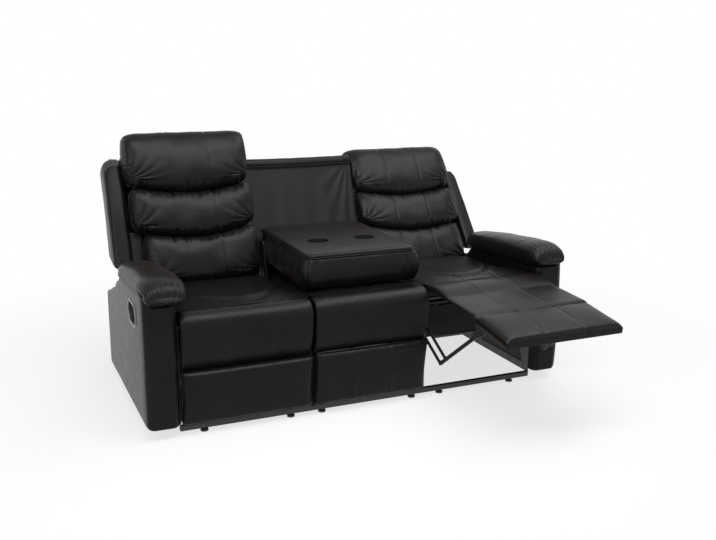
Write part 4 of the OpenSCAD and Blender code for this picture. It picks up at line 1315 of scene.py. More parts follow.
@dataclass(frozen=True)
class Bolster:
    """One stuffed roll of a back, drawn in the back's own frame on the viewer's right."""

    word: str
    node_word: str
    inner: float
    outer: float
    rear: float
    front: float
    low: float
    high: float
    low_sag: float
    high_sag: float
    end: float
    power: float
    fan: float = 0.0
    ends_power: float = 5.0
    top_seam: float = 1.0
    seam_middle: float = 0.561
    seam_half: float = 0.273
    seam_depth: float = 0.0034
    seam_pitch: float = 0.030
    pleat_depth: float = 0.0085
    crease_depth: float = 0.0026
    crease_pitch: float = 0.06
    end_folds: Folds = Folds(depth=0.0022, pitch=0.023, reach=0.02)
    wave_height: float = 0.003
    wave_size: float = 0.085
    grid: tuple[int, int, int] = (104, 10, 38)

    def shape(self, a: float, b: float, c: float) -> Vector:
        """The place of a point of the roll.

        Args:
            a: the point's X in the block, from minus one to one.
            b: its Y.
            c: its Z.

        Returns:
            The point's place, in metres.
        """
        depth, up = superellipse(b, c, self.power)
        girth = swell(a, self.end, self.ends_power)
        half = (self.outer - self.inner) / 2
        x = (self.inner + self.outer) / 2 + a * half
        hang = 1 - ((x - self.seam_middle) / self.seam_half) ** 2
        low, high = self.low - self.low_sag * hang, self.high - self.high_sag * hang
        if abs(a) > 0.999:
            x += math.copysign(0.010 * (1 - max(abs(b), abs(c)) ** 2), a) * (0.4 if a < 0 else 1.0)
        y = self.rear - (self.rear - self.front) * girth * (1 - depth) / 2
        z = (low + high) / 2 + up * (high - low) / 2 * (1 + girth) / 2
        return Vector((x, y, z))

    def relief(self, a: float, b: float, c: float) -> float:
        """Sewn lines, gathers at the seams and pleats fanning from the lower corners.

        Args:
            a: the point's X in the block, from minus one to one.
            b: its Y.
            c: its Z.

        Returns:
            How far the point moves along its normal, in metres.
        """
        if b > 0.5 and abs(c) < 0.98:
            return 0.0
        half = (self.outer - self.inner) / 2
        run = a * half
        tall = self.high - self.low
        front = blend_value(0.9, -0.2, b)
        low = fade((c + 1) * tall / 2, 0.02)
        high = fade((1 - c) * tall / 2, 0.022) * self.top_seam
        seam_folds = self.seam_depth * gather(run, self.seam_pitch, self.low * 9) * max(low, high) * front
        side = (1 - abs(a)) * half
        corner = math.hypot(side, (c + 1) * tall / 2)
        angle = math.atan2((c + 1) * tall / 2 + 0.012, side + 1e-5)
        spokes = gather(angle * 0.062 + 0.02, 0.0215, 3.0 + self.low * 7 + math.copysign(1.5, a))
        pleats = spokes * fade(max(0.0, corner - 0.06), 0.045) * blend_value(0.008, 0.06, corner)
        pleats *= self.fan * (1.25 if a > 0 else 0.8) * front
        ends = self.end_folds.sharp(c * tall / 2, 7 + a, side) * front
        folds = crease(run + 0.3 * c * tall, self.crease_pitch, self.high * 5)
        folds = -self.crease_depth * folds * (low + high) * front
        wave = self.wave_height * rumple(Vector((run, b * 0.05, c * tall / 2)), self.wave_size, self.low * 11)
        sewn = stitch_dent(half, a)
        return seam_folds + self.pleat_depth * pleats + ends + folds + wave - sewn * front

    def build(self, side: Side, frame_of_back: BackFrame, finish: bpy.types.Material) -> bpy.types.Object:
        """Makes the roll.

        Args:
            side: the back that it belongs to.
            frame_of_back: the lean and recline of that back.
            finish: its leather.

        Returns:
            The new piece.
        """
        bm = padded_mesh(self.grid, self.shape, self.relief, side is Side.LEFT)
        bmesh.ops.transform(bm, matrix=frame_of_back.matrix(), verts=bm.verts)
        piece = link_mesh(bm, f"{side.word}_{self.word}", finish)
        smooth_out(piece)
        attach(piece, f"{side.word}_back")
        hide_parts(f"{side.word}_{self.node_word}")
        return piece


@dataclass(frozen=True)
class Wing:
    """The padded wing at the outside of a back, drawn in the back's frame."""

    inner: float = 0.838
    outer: float = 0.922
    front: float = -0.060
    rear: float = 0.090
    low_front: float = 0.176
    low_rear: float = 0.284
    top_front: float = 0.652
    top_rear: float = 0.697
    round: float = 0.060
    power: float = 4.2
    foot_folds: Folds = Folds(depth=0.002, pitch=0.022, reach=0.05)
    top_folds: Folds = Folds(depth=0.0016, pitch=0.02, reach=0.03)
    wave_height: float = 0.0026
    wave_size: float = 0.13
    grid: tuple[int, int, int] = (16, 22, 64)

    def shape(self, a: float, b: float, c: float) -> Vector:
        """The place of a point of the wing.

        Args:
            a: the point's X in the block, from minus one to one.
            b: its Y.
            c: its Z.

        Returns:
            The point's place, in metres.
        """
        across, depth = superellipse(a, b, self.power)
        share = (depth + 1) / 2
        low = self.low_front + (self.low_rear - self.low_front) * share
        top = self.top_front + (self.top_rear - self.top_front) * blend_value(0.0, 0.55, share)
        t = (c + 1) / 2
        z = low + (top - low) * t
        reach = max(abs(a), abs(b))
        if c > 0.99:
            z -= 0.012 * reach ** 6
        elif c < -0.99:
            z += 0.006 * reach ** 6
        half = (self.outer - self.inner) / 2
        x = (self.inner + self.outer) / 2 + across * half
        above = z - (top - self.round)
        if above > 0 and across > 0:
            x -= (self.round - math.sqrt(max(0.0, self.round ** 2 - above ** 2))) * across * 0.85
        y = (self.front + self.rear) / 2 + depth * (self.rear - self.front) / 2
        return Vector((x, y, z))

    def relief(self, a: float, b: float, c: float) -> float:
        """Soft waves, gathers at the foot and a sewn line along the rear edge."""
        tall = self.top_front - self.low_front
        foot = self.foot_folds.soft(a * 0.04 + b * 0.07, 3.0, (c + 1) * tall / 2)
        top = self.top_folds.soft(a * 0.04 + b * 0.07, 5.0, (1 - c) * tall / 2)
        sewn = -SEWN_DEPTH * dent((b - 0.62) * 0.075, 0.003) if a > 0.9 else 0.0
        wave = self.wave_height * rumple(Vector((a * 0.04, b * 0.07, c * tall / 2)), self.wave_size, 6.0)
        return foot + top + sewn + wave


@dataclass(frozen=True)
class Back:
    """A whole outer back: three rolls, its wing, the leather over its rear and the gusset."""

    side: Side
    finishes: Finishes
    inner: float = 0.2885
    wing_edge: float = 0.836
    foot_edge: float = 0.793
    rear: float = 0.0905
    height: float = 0.699
    roll_rear: float = -0.0205
    half_width: float = 0.27
    cover_tall: float = 0.66
    cover_seam: float = 0.24
    seam_folds: Folds = Folds(depth=0.0014, pitch=0.028, reach=0.02)
    cover_puff: float = 0.003
    wave_height: float = 0.0024
    wave_size: float = 0.12

    def own_frame(self) -> BackFrame:
        """The frame of this back at rest."""
        low = JOINTS[f"{self.side.word}_back_recline"]["range_deg"][0]
        return BackFrame(recline=-low if low < 0 else 0.0)

    def rolls(self) -> list[bpy.types.Object]:
        """The three stuffed rolls.

        Returns:
            The head, the middle and the lumbar roll.
        """
        head = Bolster(
            "head_roll", "head_pillow", inner=self.inner, outer=0.834, rear=self.roll_rear, front=-0.150,
            low=0.541, high=0.776, low_sag=0.044, high_sag=0.0, end=0.68, power=2.45,
            fan=1.0, ends_power=9.0, top_seam=0.0,
        )
        middle = Bolster(
            "middle_roll", "middle_bolster", inner=self.inner, outer=0.822, rear=self.roll_rear, front=-0.139,
            low=0.346, high=0.5405, low_sag=0.052, high_sag=0.044, end=0.74, power=2.9,
            fan=0.8, ends_power=7.0,
        )
        lumbar = Bolster(
            "lumbar_roll", "lumbar_bolster", inner=self.inner, outer=0.786, rear=self.roll_rear, front=-0.142,
            low=0.104, high=0.345, low_sag=0.018, high_sag=0.052, end=0.70, power=3.1,
            fan=0.9, ends_power=7.0,
        )
        own = self.own_frame()
        return [
            head.build(self.side, own, self.finishes.leather_lit),
            middle.build(self.side, own, self.finishes.leather),
            lumbar.build(self.side, own, self.finishes.leather),
        ]

    def wing(self) -> bpy.types.Object:
        """The padded wing.

        Returns:
            The piece.
        """
        form = Wing()
        bm = padded_mesh(form.grid, form.shape, form.relief, self.side is Side.LEFT)
        bmesh.ops.transform(bm, matrix=self.own_frame().matrix(), verts=bm.verts)
        piece = link_mesh(bm, f"{self.side.word}_wing", self.finishes.leather)
        smooth_out(piece)
        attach(piece, f"{self.side.word}_back")
        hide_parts(f"{self.side.word}_back_shell")
        return piece

    def cover_shape(self, a: float, b: float, c: float) -> Vector:
        """The place of a point of the leather over the rear and the top.

        Args:
            a: the point's X in the block, from minus one to one.
            b: its Y.
            c: its Z.

        Returns:
            The point's place, in metres.
        """
        line = Curve((
            (-0.012, 0.690), (0.030, self.height), (0.066, 0.697), (0.083, 0.684), (self.rear, 0.655),
            (self.rear, 0.360), (self.rear - 0.001, 0.040),
        ))
        inner = Curve((
            (-0.012, 0.684), (0.030, 0.686), (0.060, 0.684), (0.072, 0.674), (0.077, 0.650),
            (0.077, 0.360), (0.077, 0.040),
        ))
        t = (c + 1) / 2
        p, q = line.at(t), inner.at(t)
        share = (b + 1) / 2
        y, z = q[0] + (p[0] - q[0]) * share, q[1] + (p[1] - q[1]) * share
        edge = self.foot_edge + (self.wing_edge - self.foot_edge) * blend_value(0.268, 0.292, z)
        half = (edge - self.inner) / 2
        rim = 0.5 * share * (1 - math.sqrt(1 - abs(a) ** 30))
        return Vector((self.inner + half + a * half, y - rim * 0.012, z))

    def cover_relief(self, a: float, b: float, c: float) -> float:
        """The rear's seams, its puffed middle and soft waves.

        Args:
            a: the point's X in the block, from minus one to one.
            b: its Y.
            c: its Z.

        Returns:
            How far the point moves along its normal, in metres.
        """
        if b < 0.9:
            return 0.0
        z = (1 - c) / 2 * self.cover_tall
        run = a * self.half_width
        seam = -0.003 * dent(z - self.cover_seam, SEWN_WIDTH)
        sewn = -stitch_dent(self.half_width, a)
        folds = self.seam_folds.soft(run, 4.0, z - self.cover_seam)
        wave = self.wave_height * rumple(Vector((run, 0, z)), self.wave_size, 8.0)
        return seam + sewn + folds + self.cover_puff * (1 - a ** 4) + wave

    def cover(self) -> bpy.types.Object:
        """The leather over the rear."""
        bm = padded_mesh((44, 2, 60), self.cover_shape, self.cover_relief, self.side is Side.LEFT)
        bmesh.ops.transform(bm, matrix=self.own_frame().matrix(), verts=bm.verts)
        piece = link_mesh(bm, f"{self.side.word}_rear_cover", self.finishes.leather)
        smooth_out(piece)
        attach(piece, f"{self.side.word}_back")
        return piece

    def gusset_shape(self, a: float, b: float, c: float) -> Vector:
        """The place of a point of the gusset, in the back's frame."""
        share = (b + 1) / 2
        low = 0.198 + 0.090 * share
        return Vector((
            0.788 + 0.052 * (a + 1) / 2,
            -0.040 + 0.112 * share,
            low + (0.345 - low) * (c + 1) / 2,
        ))

    def gusset(self) -> bpy.types.Object:
        """The gusset that closes the back between its lumbar roll and its wing."""
        bm = padded_mesh((6, 12, 12), self.gusset_shape, None, self.side is Side.LEFT)
        bmesh.ops.transform(bm, matrix=self.own_frame().matrix(), verts=bm.verts)
        piece = link_mesh(bm, f"{self.side.word}_back_gusset", self.finishes.leather)
        soften(piece, 0.004)
        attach(piece, f"{self.side.word}_back")
        return piece

    def build(self) -> list[bpy.types.Object]:
        """Makes all pieces of the back."""
        return [*self.rolls(), self.wing(), self.cover(), self.gusset()]


# Middle back and console

@dataclass(frozen=True)
class MiddleBack:
    """What stays of the middle back: rail pad with its welt, the cloth below it, and the rear cover."""

    finishes: Finishes
    half: float = 0.2835
    post_front: float = 0.057
    post_rear: float = 0.0855
    rail_low: float = 0.6365
    rail_high: float = 0.682
    pad_thick: float = 0.060
    rail_power: float = 3.0
    rail_ends: float = 0.86
    rail_sag: float = 0.004
    rail_folds: Folds = Folds(depth=0.0016, pitch=0.021, reach=0.02)
    drape_low: float = 0.150
    fan_source: float = 0.97
    fan_spokes: float = 17.0
    fan_depth: float = 0.0038
    hang_depth: float = 0.0016
    hang_pitch: float = 0.105
    cloth: float = 0.0014
    welt_radius: float = 0.0036
    welt_points: int = 40

    def rail_shape(self, a: float, b: float, c: float) -> Vector:
        """The place of a point of the rail pad, in the back's frame.

        Args:
            a: the point's X in the block, from minus one to one.
            b: its Y.
            c: its Z.

        Returns:
            The point's place, in metres.
        """
        depth, up = superellipse(-b, c, self.rail_power)
        girth = swell(a, self.rail_ends)
        front = self.post_front - self.pad_thick / 3
        mid = (self.rail_high + self.rail_low) / 2
        sag = self.rail_sag * (1 - a * a)
        return Vector((
            a * self.half,
            front + self.pad_thick * girth * (1 - depth) / 2,
            mid + up * (self.rail_high - self.rail_low) / 2 * (1 + girth) / 2 - sag,
        ))

    def rail_relief(self, a: float, b: float, c: float) -> float:
        """Gathers under the welt, which crowd beside the right back."""
        run = a * self.half
        crowd = 0.5 + 1.3 * blend_value(0.35, 0.95, a)
        folds = self.rail_folds.soft(run, 3.0, (c + 1) * 0.02) * crowd
        wave = 0.0016 * rumple(Vector((run, b * 0.03, c * 0.02)), 0.07, 3.0)
        return folds + wave - 0.002 * crease(run - 0.2 * c * 0.05, 0.03, 4.0) * blend_value(0.4, 0.9, a)

    def drape_point(self, a: float, t: float) -> Vector:
        """A point of the hanging cloth, from its top at t 0 to its lower edge at t 1.

        Args:
            a: the place across, from minus one to one.
            t: the share of the cloth's drop.

        Returns:
            The point in the back's frame, in metres.
        """
        fan = max(0.0, (a - 0.25) / 0.75)
        bearing = math.atan2((self.fan_source - a) * self.half * 2, t * 0.49 + 0.02)
        folds = math.sin(bearing * self.fan_spokes + 0.8) * fan * blend_value(0.0, 0.12, t) * self.fan_depth
        turn = a * self.half * 2 * math.pi / self.hang_pitch + 1.2 * t
        hang = self.hang_depth * math.sin(turn) * blend_value(0.02, 0.4, t)
        soft = 0.0018 * rumple(Vector((a * self.half, t * 0.3, 0)), 0.12, 5.0)
        y = self.post_front - 0.0072 - 0.004 * fan - (folds + hang + soft)
        z = self.rail_low + 0.004 - t * (self.rail_low - self.drape_low)
        return Vector((a * self.half, min(self.post_front - 0.002, y), z))

    def drape(self) -> bpy.types.Object:
        """The cloth that hangs in folds from the rail.

        Returns:
            The piece.
        """
        bm = bmesh.new()
        bmesh.ops.create_grid(bm, x_segments=84, y_segments=50, size=1.0)
        for vert in bm.verts:
            vert.co = self.drape_point(vert.co.x, (1 - vert.co.y) / 2)
        bm.normal_update()
        bmesh.ops.transform(bm, matrix=BackFrame().matrix(), verts=bm.verts)
        piece = link_mesh(bm, "middle_back_hanging", self.finishes.leather_soft)
        wall = piece.modifiers.new("cloth", "SOLIDIFY")
        wall.thickness = self.cloth
        wall.offset = 0.0
        smooth_out(piece)
        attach(piece, "frame")
        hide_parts("middle_back_drape")
        return piece

    def rail(self) -> bpy.types.Object:
        """The padded rail.

        Returns:
            The piece.
        """
        bm = padded_mesh((90, 14, 14), self.rail_shape, self.rail_relief)
        bmesh.ops.transform(bm, matrix=BackFrame().matrix(), verts=bm.verts)
        piece = link_mesh(bm, "middle_rail_roll", self.finishes.leather_lit)
        smooth_out(piece)
        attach(piece, "frame")
        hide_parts("middle_back_rail_pad")
        return piece

    def welt(self) -> bpy.types.Object:
        """The cord under the rail, on its front and its rear.

        Returns:
            The piece.
        """
        turn = BackFrame().matrix()
        count = self.welt_points
        runs = []
        for y in (self.post_front - 0.019, self.post_rear + 0.0065):
            runs.append([turn @ Vector((
                -self.half + 2 * self.half * k / count,
                y,
                self.rail_low + 0.001 - self.rail_sag * (1 - (k / (count / 2) - 1) ** 2),
            )) for k in range(count + 1)])
        bm = bmesh.new()
        add_cords(bm, runs, self.welt_radius)
        piece = link_mesh(bm, "middle_rail_welt", self.finishes.leather)
        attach(piece, "frame")
        return piece

    def cover(self) -> bpy.types.Object:
        """The leather over the rear of the middle back."""
        low = Vector((-self.half, self.post_rear, 0.0))
        high = Vector((self.half, self.post_rear + 0.007, 0.636))
        return Slab(
            "middle_rear_cover", "frame", low, high, face_axis=1, face_sign=1, finish=self.finishes.leather,
            nodes=("middle_back_cover",), puff=0.004, seams=STITCH_SHARES, turn=BackFrame().matrix(),
        ).build()

    def build(self) -> list[bpy.types.Object]:
        """Makes all pieces of the middle back."""
        return [self.rail(), self.welt(), self.drape(), self.cover()]


@dataclass(frozen=True)
class Console:
    """The folded middle back: the table pad on top and the padded face that lies below."""

    finishes: Finishes
    half: float = 0.247
    front: float = 0.111
    rear: float = 0.743
    top: float = 0.655
    pad_low: float = 0.5925
    core_low: float = 0.5625
    low: float = 0.497
    corner: float = 0.034
    rim_high: float = 0.6305
    cup_x: float = 0.108
    cup_y: float = 0.345
    cup_r: float = 0.0495
    cup_steps: int = 64
    tuck: float = 0.0235
    welt_radius: float = 0.0038
    welt_points: int = 160
    edge_folds: Folds = Folds(depth=0.0007, pitch=0.026, reach=0.02)
    stand: float = 0.015
    front_stand: float = 0.004
    valley: float = 0.010
    end_gathers: float = 0.0030
    side_gathers: float = 0.0014
    gather_pitch: float = 0.026
    pleat_depth: float = 0.0060
    pleat_pitch: float = 0.035

    def pad_shape(self, a: float, b: float, c: float) -> Vector:
        """The place of a point of the table pad, whose front edge rolls under.

        Args:
            a: the point's X in the block, from minus one to one.
            b: its Y.
            c: its Z.

        Returns:
            The point's place, in metres.
        """
        t = (c + 1) / 2
        middle = (self.front + self.rear) / 2
        half_depth = (self.rear - self.front) / 2
        edge = self.corner * 0.55
        inset = edge * (1 - math.sqrt(max(0.0, 1 - max(0.0, (t - 0.55) / 0.45) ** 2)))
        tuck = self.tuck * blend_value(0.70, 0.60, t)
        u, v = self.rounded(a, b, self.half, half_depth, self.corner)
        shrink_x = (self.half - inset - tuck) / self.half
        shrink_y = (half_depth - inset - tuck) / half_depth
        z = self.pad_low + (self.top - self.pad_low) * t
        if c > 0.99:
            z -= 0.0025 * max(abs(a), abs(b)) ** 10
        return Vector((u * shrink_x, FRONT + middle + v * shrink_y, z))

    def rounded(self, a: float, b: float, half_x: float, half_y: float, radius: float) -> tuple[float, float]:
        """Maps the unit square to a rectangle with round corners.

        Args:
            a: the place across, from minus one to one.
            b: the place along, from minus one to one.
            half_x: half of the rectangle's width, in metres.
            half_y: half of its length.
            radius: the radius of its corners.

        Returns:
            The X and the Y of the place, from the rectangle's middle.
        """
        reach = max(abs(a), abs(b))
        if reach < 1e-6:
            return 0.0, 0.0
        x, y = a / reach * half_x, b / reach * half_y
        over_x, over_y = abs(x) - (half_x - radius), abs(y) - (half_y - radius)
        if over_x > 0 and over_y > 0:
            long = math.hypot(over_x, over_y)
            most = max(over_x, over_y)
            x = math.copysign(half_x - radius + over_x / long * most, x)
            y = math.copysign(half_y - radius + over_y / long * most, y)
        return x * reach, y * reach

    def pad_relief(self, a: float, b: float, c: float) -> float:
        """Soft waves, the sewn line along the edge and faint pulls toward it."""
        if c < 0.9:
            return 0.0009 * puckers((a - b) * 0.3, 0.05, 2.0)
        side = min((1 - abs(a)) * self.half, (1 - abs(b)) * (self.rear - self.front) / 2)
        pulls = self.edge_folds.soft((a + b) * 0.3, 7.0, side)
        wave = 0.0012 * rumple(Vector((a * 0.25, b * 0.32, 0)), 0.14, 2.0)
        return pulls - 0.0016 * dent(side - 0.016, 0.003) + wave

    def table_pad(self) -> bpy.types.Object:
        """The padded table top, open where the cup holders sit.

        Returns:
            The piece.
        """
        bm = padded_mesh((52, 64, 10), self.pad_shape, self.pad_relief)
        piece = link_mesh(bm, "console_table_top", self.finishes.leather_lit)
        smooth_out(piece)
        for side in Side:
            hole = bmesh.new()
            radius = self.cup_r + 0.0002
            bmesh.ops.create_cone(
                hole, cap_ends=True, segments=self.cup_steps, radius1=radius, radius2=radius, depth=0.2)
            place = side.value * self.cup_x, FRONT + self.cup_y, 0.65
            bmesh.ops.translate(hole, vec=place, verts=hole.verts)
            cut_with(piece, hole)
        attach(piece, "console")
        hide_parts("console_table_pad")
        return piece

    def welt(self) -> bpy.types.Object:
        """The cord between the table pad and the puffed face below.

        Returns:
            The piece.
        """
        half_depth = (self.rear - self.front) / 2
        middle = (self.front + self.rear) / 2
        ring = []
        for k in range(self.welt_points + 1):
            angle = 2 * math.pi * k / self.welt_points
            a, b = math.cos(angle), math.sin(angle)
            reach = max(abs(a), abs(b))
            x, y = self.rounded(a / reach, b / reach, self.half - 0.002, half_depth - 0.002, self.corner)
            ring.append(Vector((x, FRONT + middle + y, self.rim_high + 0.0035)))
        piece = link_mesh(sweep(ring, self.welt_radius), "console_welt", self.finishes.leather)
        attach(piece, "console")
        return piece

    def face_shape(self, a: float, b: float, c: float) -> Vector:
        """The place of a point of the padded face, which hangs below and puffs out at the front.

        Args:
            a: the point's X in the block, from minus one to one.
            b: its Y.
            c: its Z.

        Returns:
            The point's place, in metres.
        """
        half_depth = (self.rear - 0.003 - self.front) / 2
        middle = (self.front + self.rear - 0.003) / 2
        t = (1 - c) / 2
        u, v = self.rounded(a, b, self.half, half_depth, self.corner)
        bulge = math.sin(math.pi * min(1.0, 0.12 + t * 0.74))
        shrink = 1 - 0.030 * (1 - bulge)
        stand = self.stand + self.front_stand * blend_value(0.0, -0.9, b)
        stand *= bulge * blend_value(0.75, 0.35, b)
        low = self.low + 0.001 + 0.010 * max(abs(a), abs(b)) ** 8
        z = self.rim_high + (low - self.rim_high) * t
        reach = max(abs(a), abs(b))
        if c > 0.99 and reach < 0.93:
            z = min(z, self.core_low - 0.0005)
        wide, long = shrink + stand / self.half, shrink + (stand / half_depth if b < 0 else 0.0)
        return Vector((u * wide, FRONT + middle + v * long, z))

    def face_relief(self, a: float, b: float, c: float) -> float:
        """The face's three cushions, its gathers and the pleats at its corners.

        Args:
            a: the point's X in the block, from minus one to one.
            b: its Y.
            c: its Z.

        Returns:
            How far the point moves along its normal, in metres.
        """
        half_depth = (self.rear - self.front) / 2
        if c > 0.9:
            return 0.0
        under = blend_value(-0.7, -1.0, c)
        valleys = sum(self.valley * dent((b - share) * half_depth, 0.016) for share in STITCH_SHARES) * under
        around = math.atan2(b * half_depth, a * self.half)
        side = blend_value(0.86, 1.0, max(abs(a), abs(b)))
        at_end = abs(b) > abs(a)
        run = a * self.half if at_end else b * half_depth
        depth = self.end_gathers if at_end else self.side_gathers
        gathers = depth * gather(run, self.gather_pitch, 5.0 + abs(a)) * side * fade(1 - abs(c), 0.5)
        corner = fade(math.hypot((1 - abs(a)) * self.half, (1 - abs(b)) * half_depth), 0.05)
        pleats = self.pleat_depth * gather(around * 0.3, self.pleat_pitch, 6.0) * corner * side
        wave = 0.003 * rumple(Vector((a * self.half, b * half_depth, c * 0.03)), 0.075, 4.0)
        return gathers + pleats + wave - valleys

    def face(self) -> bpy.types.Object:
        """The padded face of the middle back."""
        bm = padded_mesh((68, 72, 16), self.face_shape, self.face_relief)
        piece = link_mesh(bm, "console_face", self.finishes.leather)
        smooth_out(piece)
        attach(piece, "console")
        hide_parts("console_back_cushion")
        return piece

    def holders(self) -> bpy.types.Object:
        """Two cups spun in one piece, with rolled rims.

        Returns:
            The piece.
        """
        outline = (
            (0.0, 0.5945), (0.036, 0.5945), (0.0415, 0.5975), (0.043, 0.604), (0.043, 0.6530),
            (0.0445, 0.6562), (0.0470, 0.6572), (0.0487, 0.6560), (0.0490, 0.6545), (0.0480, 0.6538),
            (0.0456, 0.6530), (0.0455, 0.600), (0.044, 0.5930), (0.0, 0.5927),
        )
        bm = bmesh.new()
        for side in Side:
            verts = [bm.verts.new((x, 0, z)) for x, z in outline]
            edges = [bm.edges.new(pair) for pair in zip(verts, verts[1:])]
            bmesh.ops.spin(bm, geom=verts + edges, cent=(0, 0, 0), axis=(0, 0, 1), angle=2 * math.pi,
                           steps=self.cup_steps, use_merge=True)
            fresh = [vert for vert in bm.verts if not vert.tag]
            bmesh.ops.translate(bm, vec=(side.value * self.cup_x, FRONT + self.cup_y, 0), verts=fresh)
            for vert in fresh:
                vert.tag = True
        bmesh.ops.remove_doubles(bm, verts=bm.verts, dist=0.00005)
        piece = link_mesh(bm, "cup_holder_pair", self.finishes.gloss)
        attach(piece, "console")
        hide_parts("cup_holders")
        return piece

    def build(self) -> list[bpy.types.Object]:
        """Makes all pieces of the console."""
        return [self.table_pad(), self.welt(), self.face(), self.holders()]


# Scene

@dataclass(frozen=True)
class Lamp:
    """A soft rectangular lamp: where it hangs, what it faces, its width and height, and its watts."""

    name: str
    place: tuple[float, float, float]
    aim: tuple[float, float, float]
    size: tuple[float, float]
    power: float

    def build(self) -> None:
        """Hangs the lamp."""
        data = bpy.data.lights.new(self.name, "AREA")
        data.shape = "RECTANGLE"
        data.size, data.size_y = self.size
        data.energy = self.power
        lamp = bpy.data.objects.new(self.name, data)
        lamp.location = self.place
        lamp.rotation_euler = (Vector(self.aim) - Vector(self.place)).to_track_quat("-Z", "Y").to_euler()
        bpy.context.scene.collection.objects.link(lamp)


@dataclass(frozen=True)
class Studio:
    """Camera, lamps, floor and backdrop."""

    lens: float = 45.5
    place: tuple[float, float, float] = (-1.490, -3.204, 1.476)
    yaw: float = 23.88
    pitch: float = 14.02
    roll: float = 0.52
    sky: float = 0.35
    floor_white: float = 0.72
    floor_tone: float = 0.8
    floor_size: float = 14.0
    lamps: tuple[Lamp, ...] = (
        Lamp("key", (-3.0, -1.8, 2.4), (0, 0, 0.5), (1.8, 1.4), 30),
        Lamp("top", (-0.3, -1.1, 3.1), (0, 0.2, 0.6), (2.8, 1.4), 84),
        Lamp("right_top", (1.5, 0.0, 3.0), (0.5, 0.3, 0.8), (1.6, 1.2), 30),
        Lamp("fill", (3.2, -2.6, 1.8), (0, 0, 0.4), (2.0, 1.6), 8),
    )

    def camera(self) -> None:
        """The camera of the photograph."""
        data = bpy.data.cameras.new("camera")
        data.lens = self.lens
        data.sensor_width = 36.0
        data.sensor_fit = "HORIZONTAL"
        data.clip_end = 60.0
        eye = bpy.data.objects.new("camera", data)
        turn = Matrix.Rotation(-math.radians(self.yaw), 4, "Z")
        turn = turn @ Matrix.Rotation(math.radians(90 - self.pitch), 4, "X")
        turn = turn @ Matrix.Rotation(math.radians(self.roll), 4, "Z")
        place = Vector(self.place) + Vector((0, FRONT, 0))
        eye.matrix_world = Matrix.Translation(place) @ turn
        bpy.context.scene.collection.objects.link(eye)
        bpy.context.scene.camera = eye

    def seen_rays(self, tree: bpy.types.NodeTree) -> bpy.types.NodeSocket:
        """One for rays of the camera, of reflections and through glass, zero for all others.

        Args:
            tree: the node tree that the nodes go into.

        Returns:
            The socket that gives the one or the zero.
        """
        rays = tree.nodes.new("ShaderNodeLightPath")
        found = rays.outputs["Is Camera Ray"]
        for name in ("Is Glossy Ray", "Is Transmission Ray"):
            either = tree.nodes.new("ShaderNodeMath")
            either.operation = "MAXIMUM"
            tree.links.new(found, either.inputs[0])
            tree.links.new(rays.outputs[name], either.inputs[1])
            found = either.outputs["Value"]
        return found

    def floor_paint(self, tone: float) -> bpy.types.Material:
        """A pale floor that shows as white, fully so away from the sofa, and keeps its shadow.

        Args:
            tone: its colour where it lights the object.

        Returns:
            The material.
        """
        nodes = Nodes("floor_paint", 0.9, 0.2)
        nodes.shader.inputs["Base Color"].default_value = (tone, tone, tone, 1)
        length = nodes.add("ShaderNodeVectorMath", operation="LENGTH")
        nodes.join(nodes.place, length.inputs[0])
        share = nodes.add("ShaderNodeMapRange")
        share.inputs["From Min"].default_value = 1.1
        share.inputs["From Max"].default_value = 2.6
        share.inputs["To Min"].default_value = self.floor_white
        nodes.join(length.outputs["Value"], share.inputs["Value"])
        both = nodes.add("ShaderNodeMath", operation="MULTIPLY")
        nodes.join(share.outputs["Result"], both.inputs[0])
        nodes.join(self.seen_rays(nodes.tree), both.inputs[1])
        white = nodes.add("ShaderNodeEmission")
        mix = nodes.add("ShaderNodeMixShader")
        nodes.join(both.outputs["Value"], mix.inputs["Fac"])
        nodes.join(nodes.shader.outputs["BSDF"], mix.inputs[1])
        nodes.join(white.outputs["Emission"], mix.inputs[2])
        nodes.join(mix.outputs["Shader"], nodes.tree.nodes["Material Output"].inputs["Surface"])
        return nodes.material

    def floor(self) -> None:
        """The pale floor."""
        bm = bmesh.new()
        bmesh.ops.create_grid(bm, x_segments=2, y_segments=2, size=self.floor_size)
        piece = link_mesh(bm, "floor", self.floor_paint(self.floor_tone), smooth=False)

    def world(self) -> None:
        """A soft even sky, white where the camera or a reflection sees it."""
        world = bpy.data.worlds.new("studio")
        world.use_nodes = True
        tree = world.node_tree
        soft = tree.nodes["Background"]
        soft.inputs["Color"].default_value = (1, 1, 1, 1)
        soft.inputs["Strength"].default_value = self.sky
        white = tree.nodes.new("ShaderNodeBackground")
        white.inputs["Color"].default_value = (1, 1, 1, 1)
        mix = tree.nodes.new("ShaderNodeMixShader")
        tree.links.new(self.seen_rays(tree), mix.inputs["Fac"])
        tree.links.new(soft.outputs["Background"], mix.inputs[1])
        tree.links.new(white.outputs["Background"], mix.inputs[2])
        tree.links.new(mix.outputs["Shader"], tree.nodes["World Output"].inputs["Surface"])
        bpy.context.scene.world = world

    def build(self) -> None:
        """Sets the scene up around the sofa."""
        bpy.context.scene.view_settings.view_transform = "Standard"
        self.camera()
        self.world()
        self.floor()
        for lamp in self.lamps:
            lamp.build()


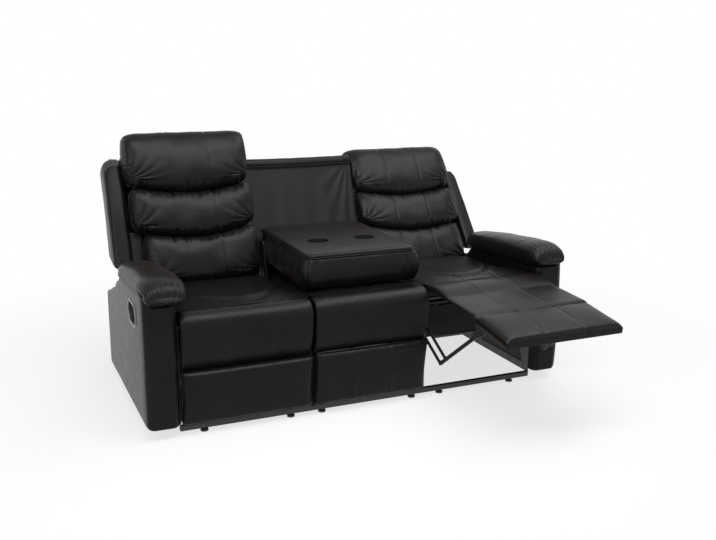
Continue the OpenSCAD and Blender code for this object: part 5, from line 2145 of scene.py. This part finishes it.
@dataclass(frozen=True)
class Seats:
    """The three seats with their flaps and front panels, and the panel at the rear below the backs."""

    finishes: Finishes
    inner: float = 0.2575
    outer: float = 0.798
    seat_gap: float = 0.0045
    panel_gap: float = 0.002
    middle_half: float = 0.2505
    flap_closed: float = 283.0
    flap_swing: float = 100.0
    flap_length: float = 0.400
    upper_length: float = 0.172
    panel_closed: float = 278.0
    panel_swing: float = 90.0
    crease_lead: float = 0.0187
    crease_z: float = 0.262
    open_lead: float = 0.3586
    open_z: float = 0.4739
    rear_front: float = 0.800
    rear_rear: float = 0.818
    rear_low: float = 0.043
    rear_high: float = 0.300

    def closed_panel(self) -> PanelFrame:
        """The frame of a lower panel that hangs closed."""
        return PanelFrame(FRONT - self.crease_lead, self.crease_z, self.panel_closed)

    def outer_seat(self, side: Side) -> list[bpy.types.Object]:
        """A reclining seat with its flap and its footrest, which is out on the viewer's right.

        Args:
            side: the seat's side, as the viewer sees it.

        Returns:
            The cushion, the flap and the footrest's cover.
        """
        lit = self.finishes.leather_lit
        inner, outer = self.inner + self.seat_gap, self.outer - self.seat_gap
        ends = side.value * inner, side.value * outer
        bay = Bay(min(ends), max(ends))
        panel_bay = Bay(bay.inner + self.panel_gap, bay.outer - self.panel_gap)
        word, out = side.word, side is Side.RIGHT
        seat = SeatCushion(f"{word}_seat", f"{word}_seat_cushion", bay, self.finishes.leather_seat).build()
        flap = Flap(
            f"{word}_flap_skin", (f"{word}_flap_pad", f"{word}_flap_web"), f"{word}_flap", panel_bay,
            self.flap_closed - self.flap_swing * out, self.flap_length, lit,
        ).build()
        panel = self.closed_panel()
        if out:
            panel = PanelFrame(FRONT - self.open_lead, self.open_z, self.panel_closed - self.panel_swing)
        footrest = FrontPad(
            f"{word}_footrest_cover", f"{word}_footrest_pad", f"{word}_footrest", panel_bay, panel, lit,
        ).build()
        return [seat, flap, footrest]

    def middle_seat(self) -> list[bpy.types.Object]:
        """The fixed seat in the middle with its two front panels.

        Returns:
            The cushion, the upper and the lower front panel.
        """
        lit = self.finishes.leather_lit
        bay = Bay(-self.middle_half, self.middle_half)
        return [
            SeatCushion("middle_seat", "middle_seat_cushion", bay, self.finishes.leather_seat).build(),
            Flap("middle_front_upper", ("middle_upper_panel",), "frame", bay, self.flap_closed,
                 self.upper_length, lit, grid=(66, 50, 4)).build(),
            FrontPad("middle_front_lower", "middle_lower_panel", "frame", bay, self.closed_panel(), lit,
                     lead=0.005).build(),
        ]

    def rear_panel(self) -> bpy.types.Object:
        """The leather over the lower rear panel."""
        low = Vector((-self.outer, FRONT + self.rear_front, self.rear_low))
        high = Vector((self.outer, FRONT + self.rear_rear, self.rear_high))
        return Slab(
            "rear_lower_cover", "frame", low, high, face_axis=1, face_sign=1, finish=self.finishes.leather,
            nodes=("rear_base_panel",), grid=(84, 18),
        ).build()

    def build(self) -> list[bpy.types.Object]:
        """Makes all pieces of the seats."""
        pieces = [piece for side in Side for piece in self.outer_seat(side)]
        return [*pieces, *self.middle_seat(), self.rear_panel()]


def main() -> None:
    """Builds the sofa's pieces in order."""
    logging.basicConfig(level=logging.INFO, format="%(message)s")
    Studio().build()
    finishes = Finishes()
    finishes.dress_nodes()
    pieces = Seats(finishes).build()
    for side in Side:
        pieces += Arm(side, finishes).build()
        pieces += Back(side, finishes).build()
    pieces += MiddleBack(finishes).build()
    pieces += Console(finishes).build()
    for piece in pieces:
        LOG.info("%s: %d faces", piece.name, len(piece.data.polygons))


if __name__ == "__main__":
    main()
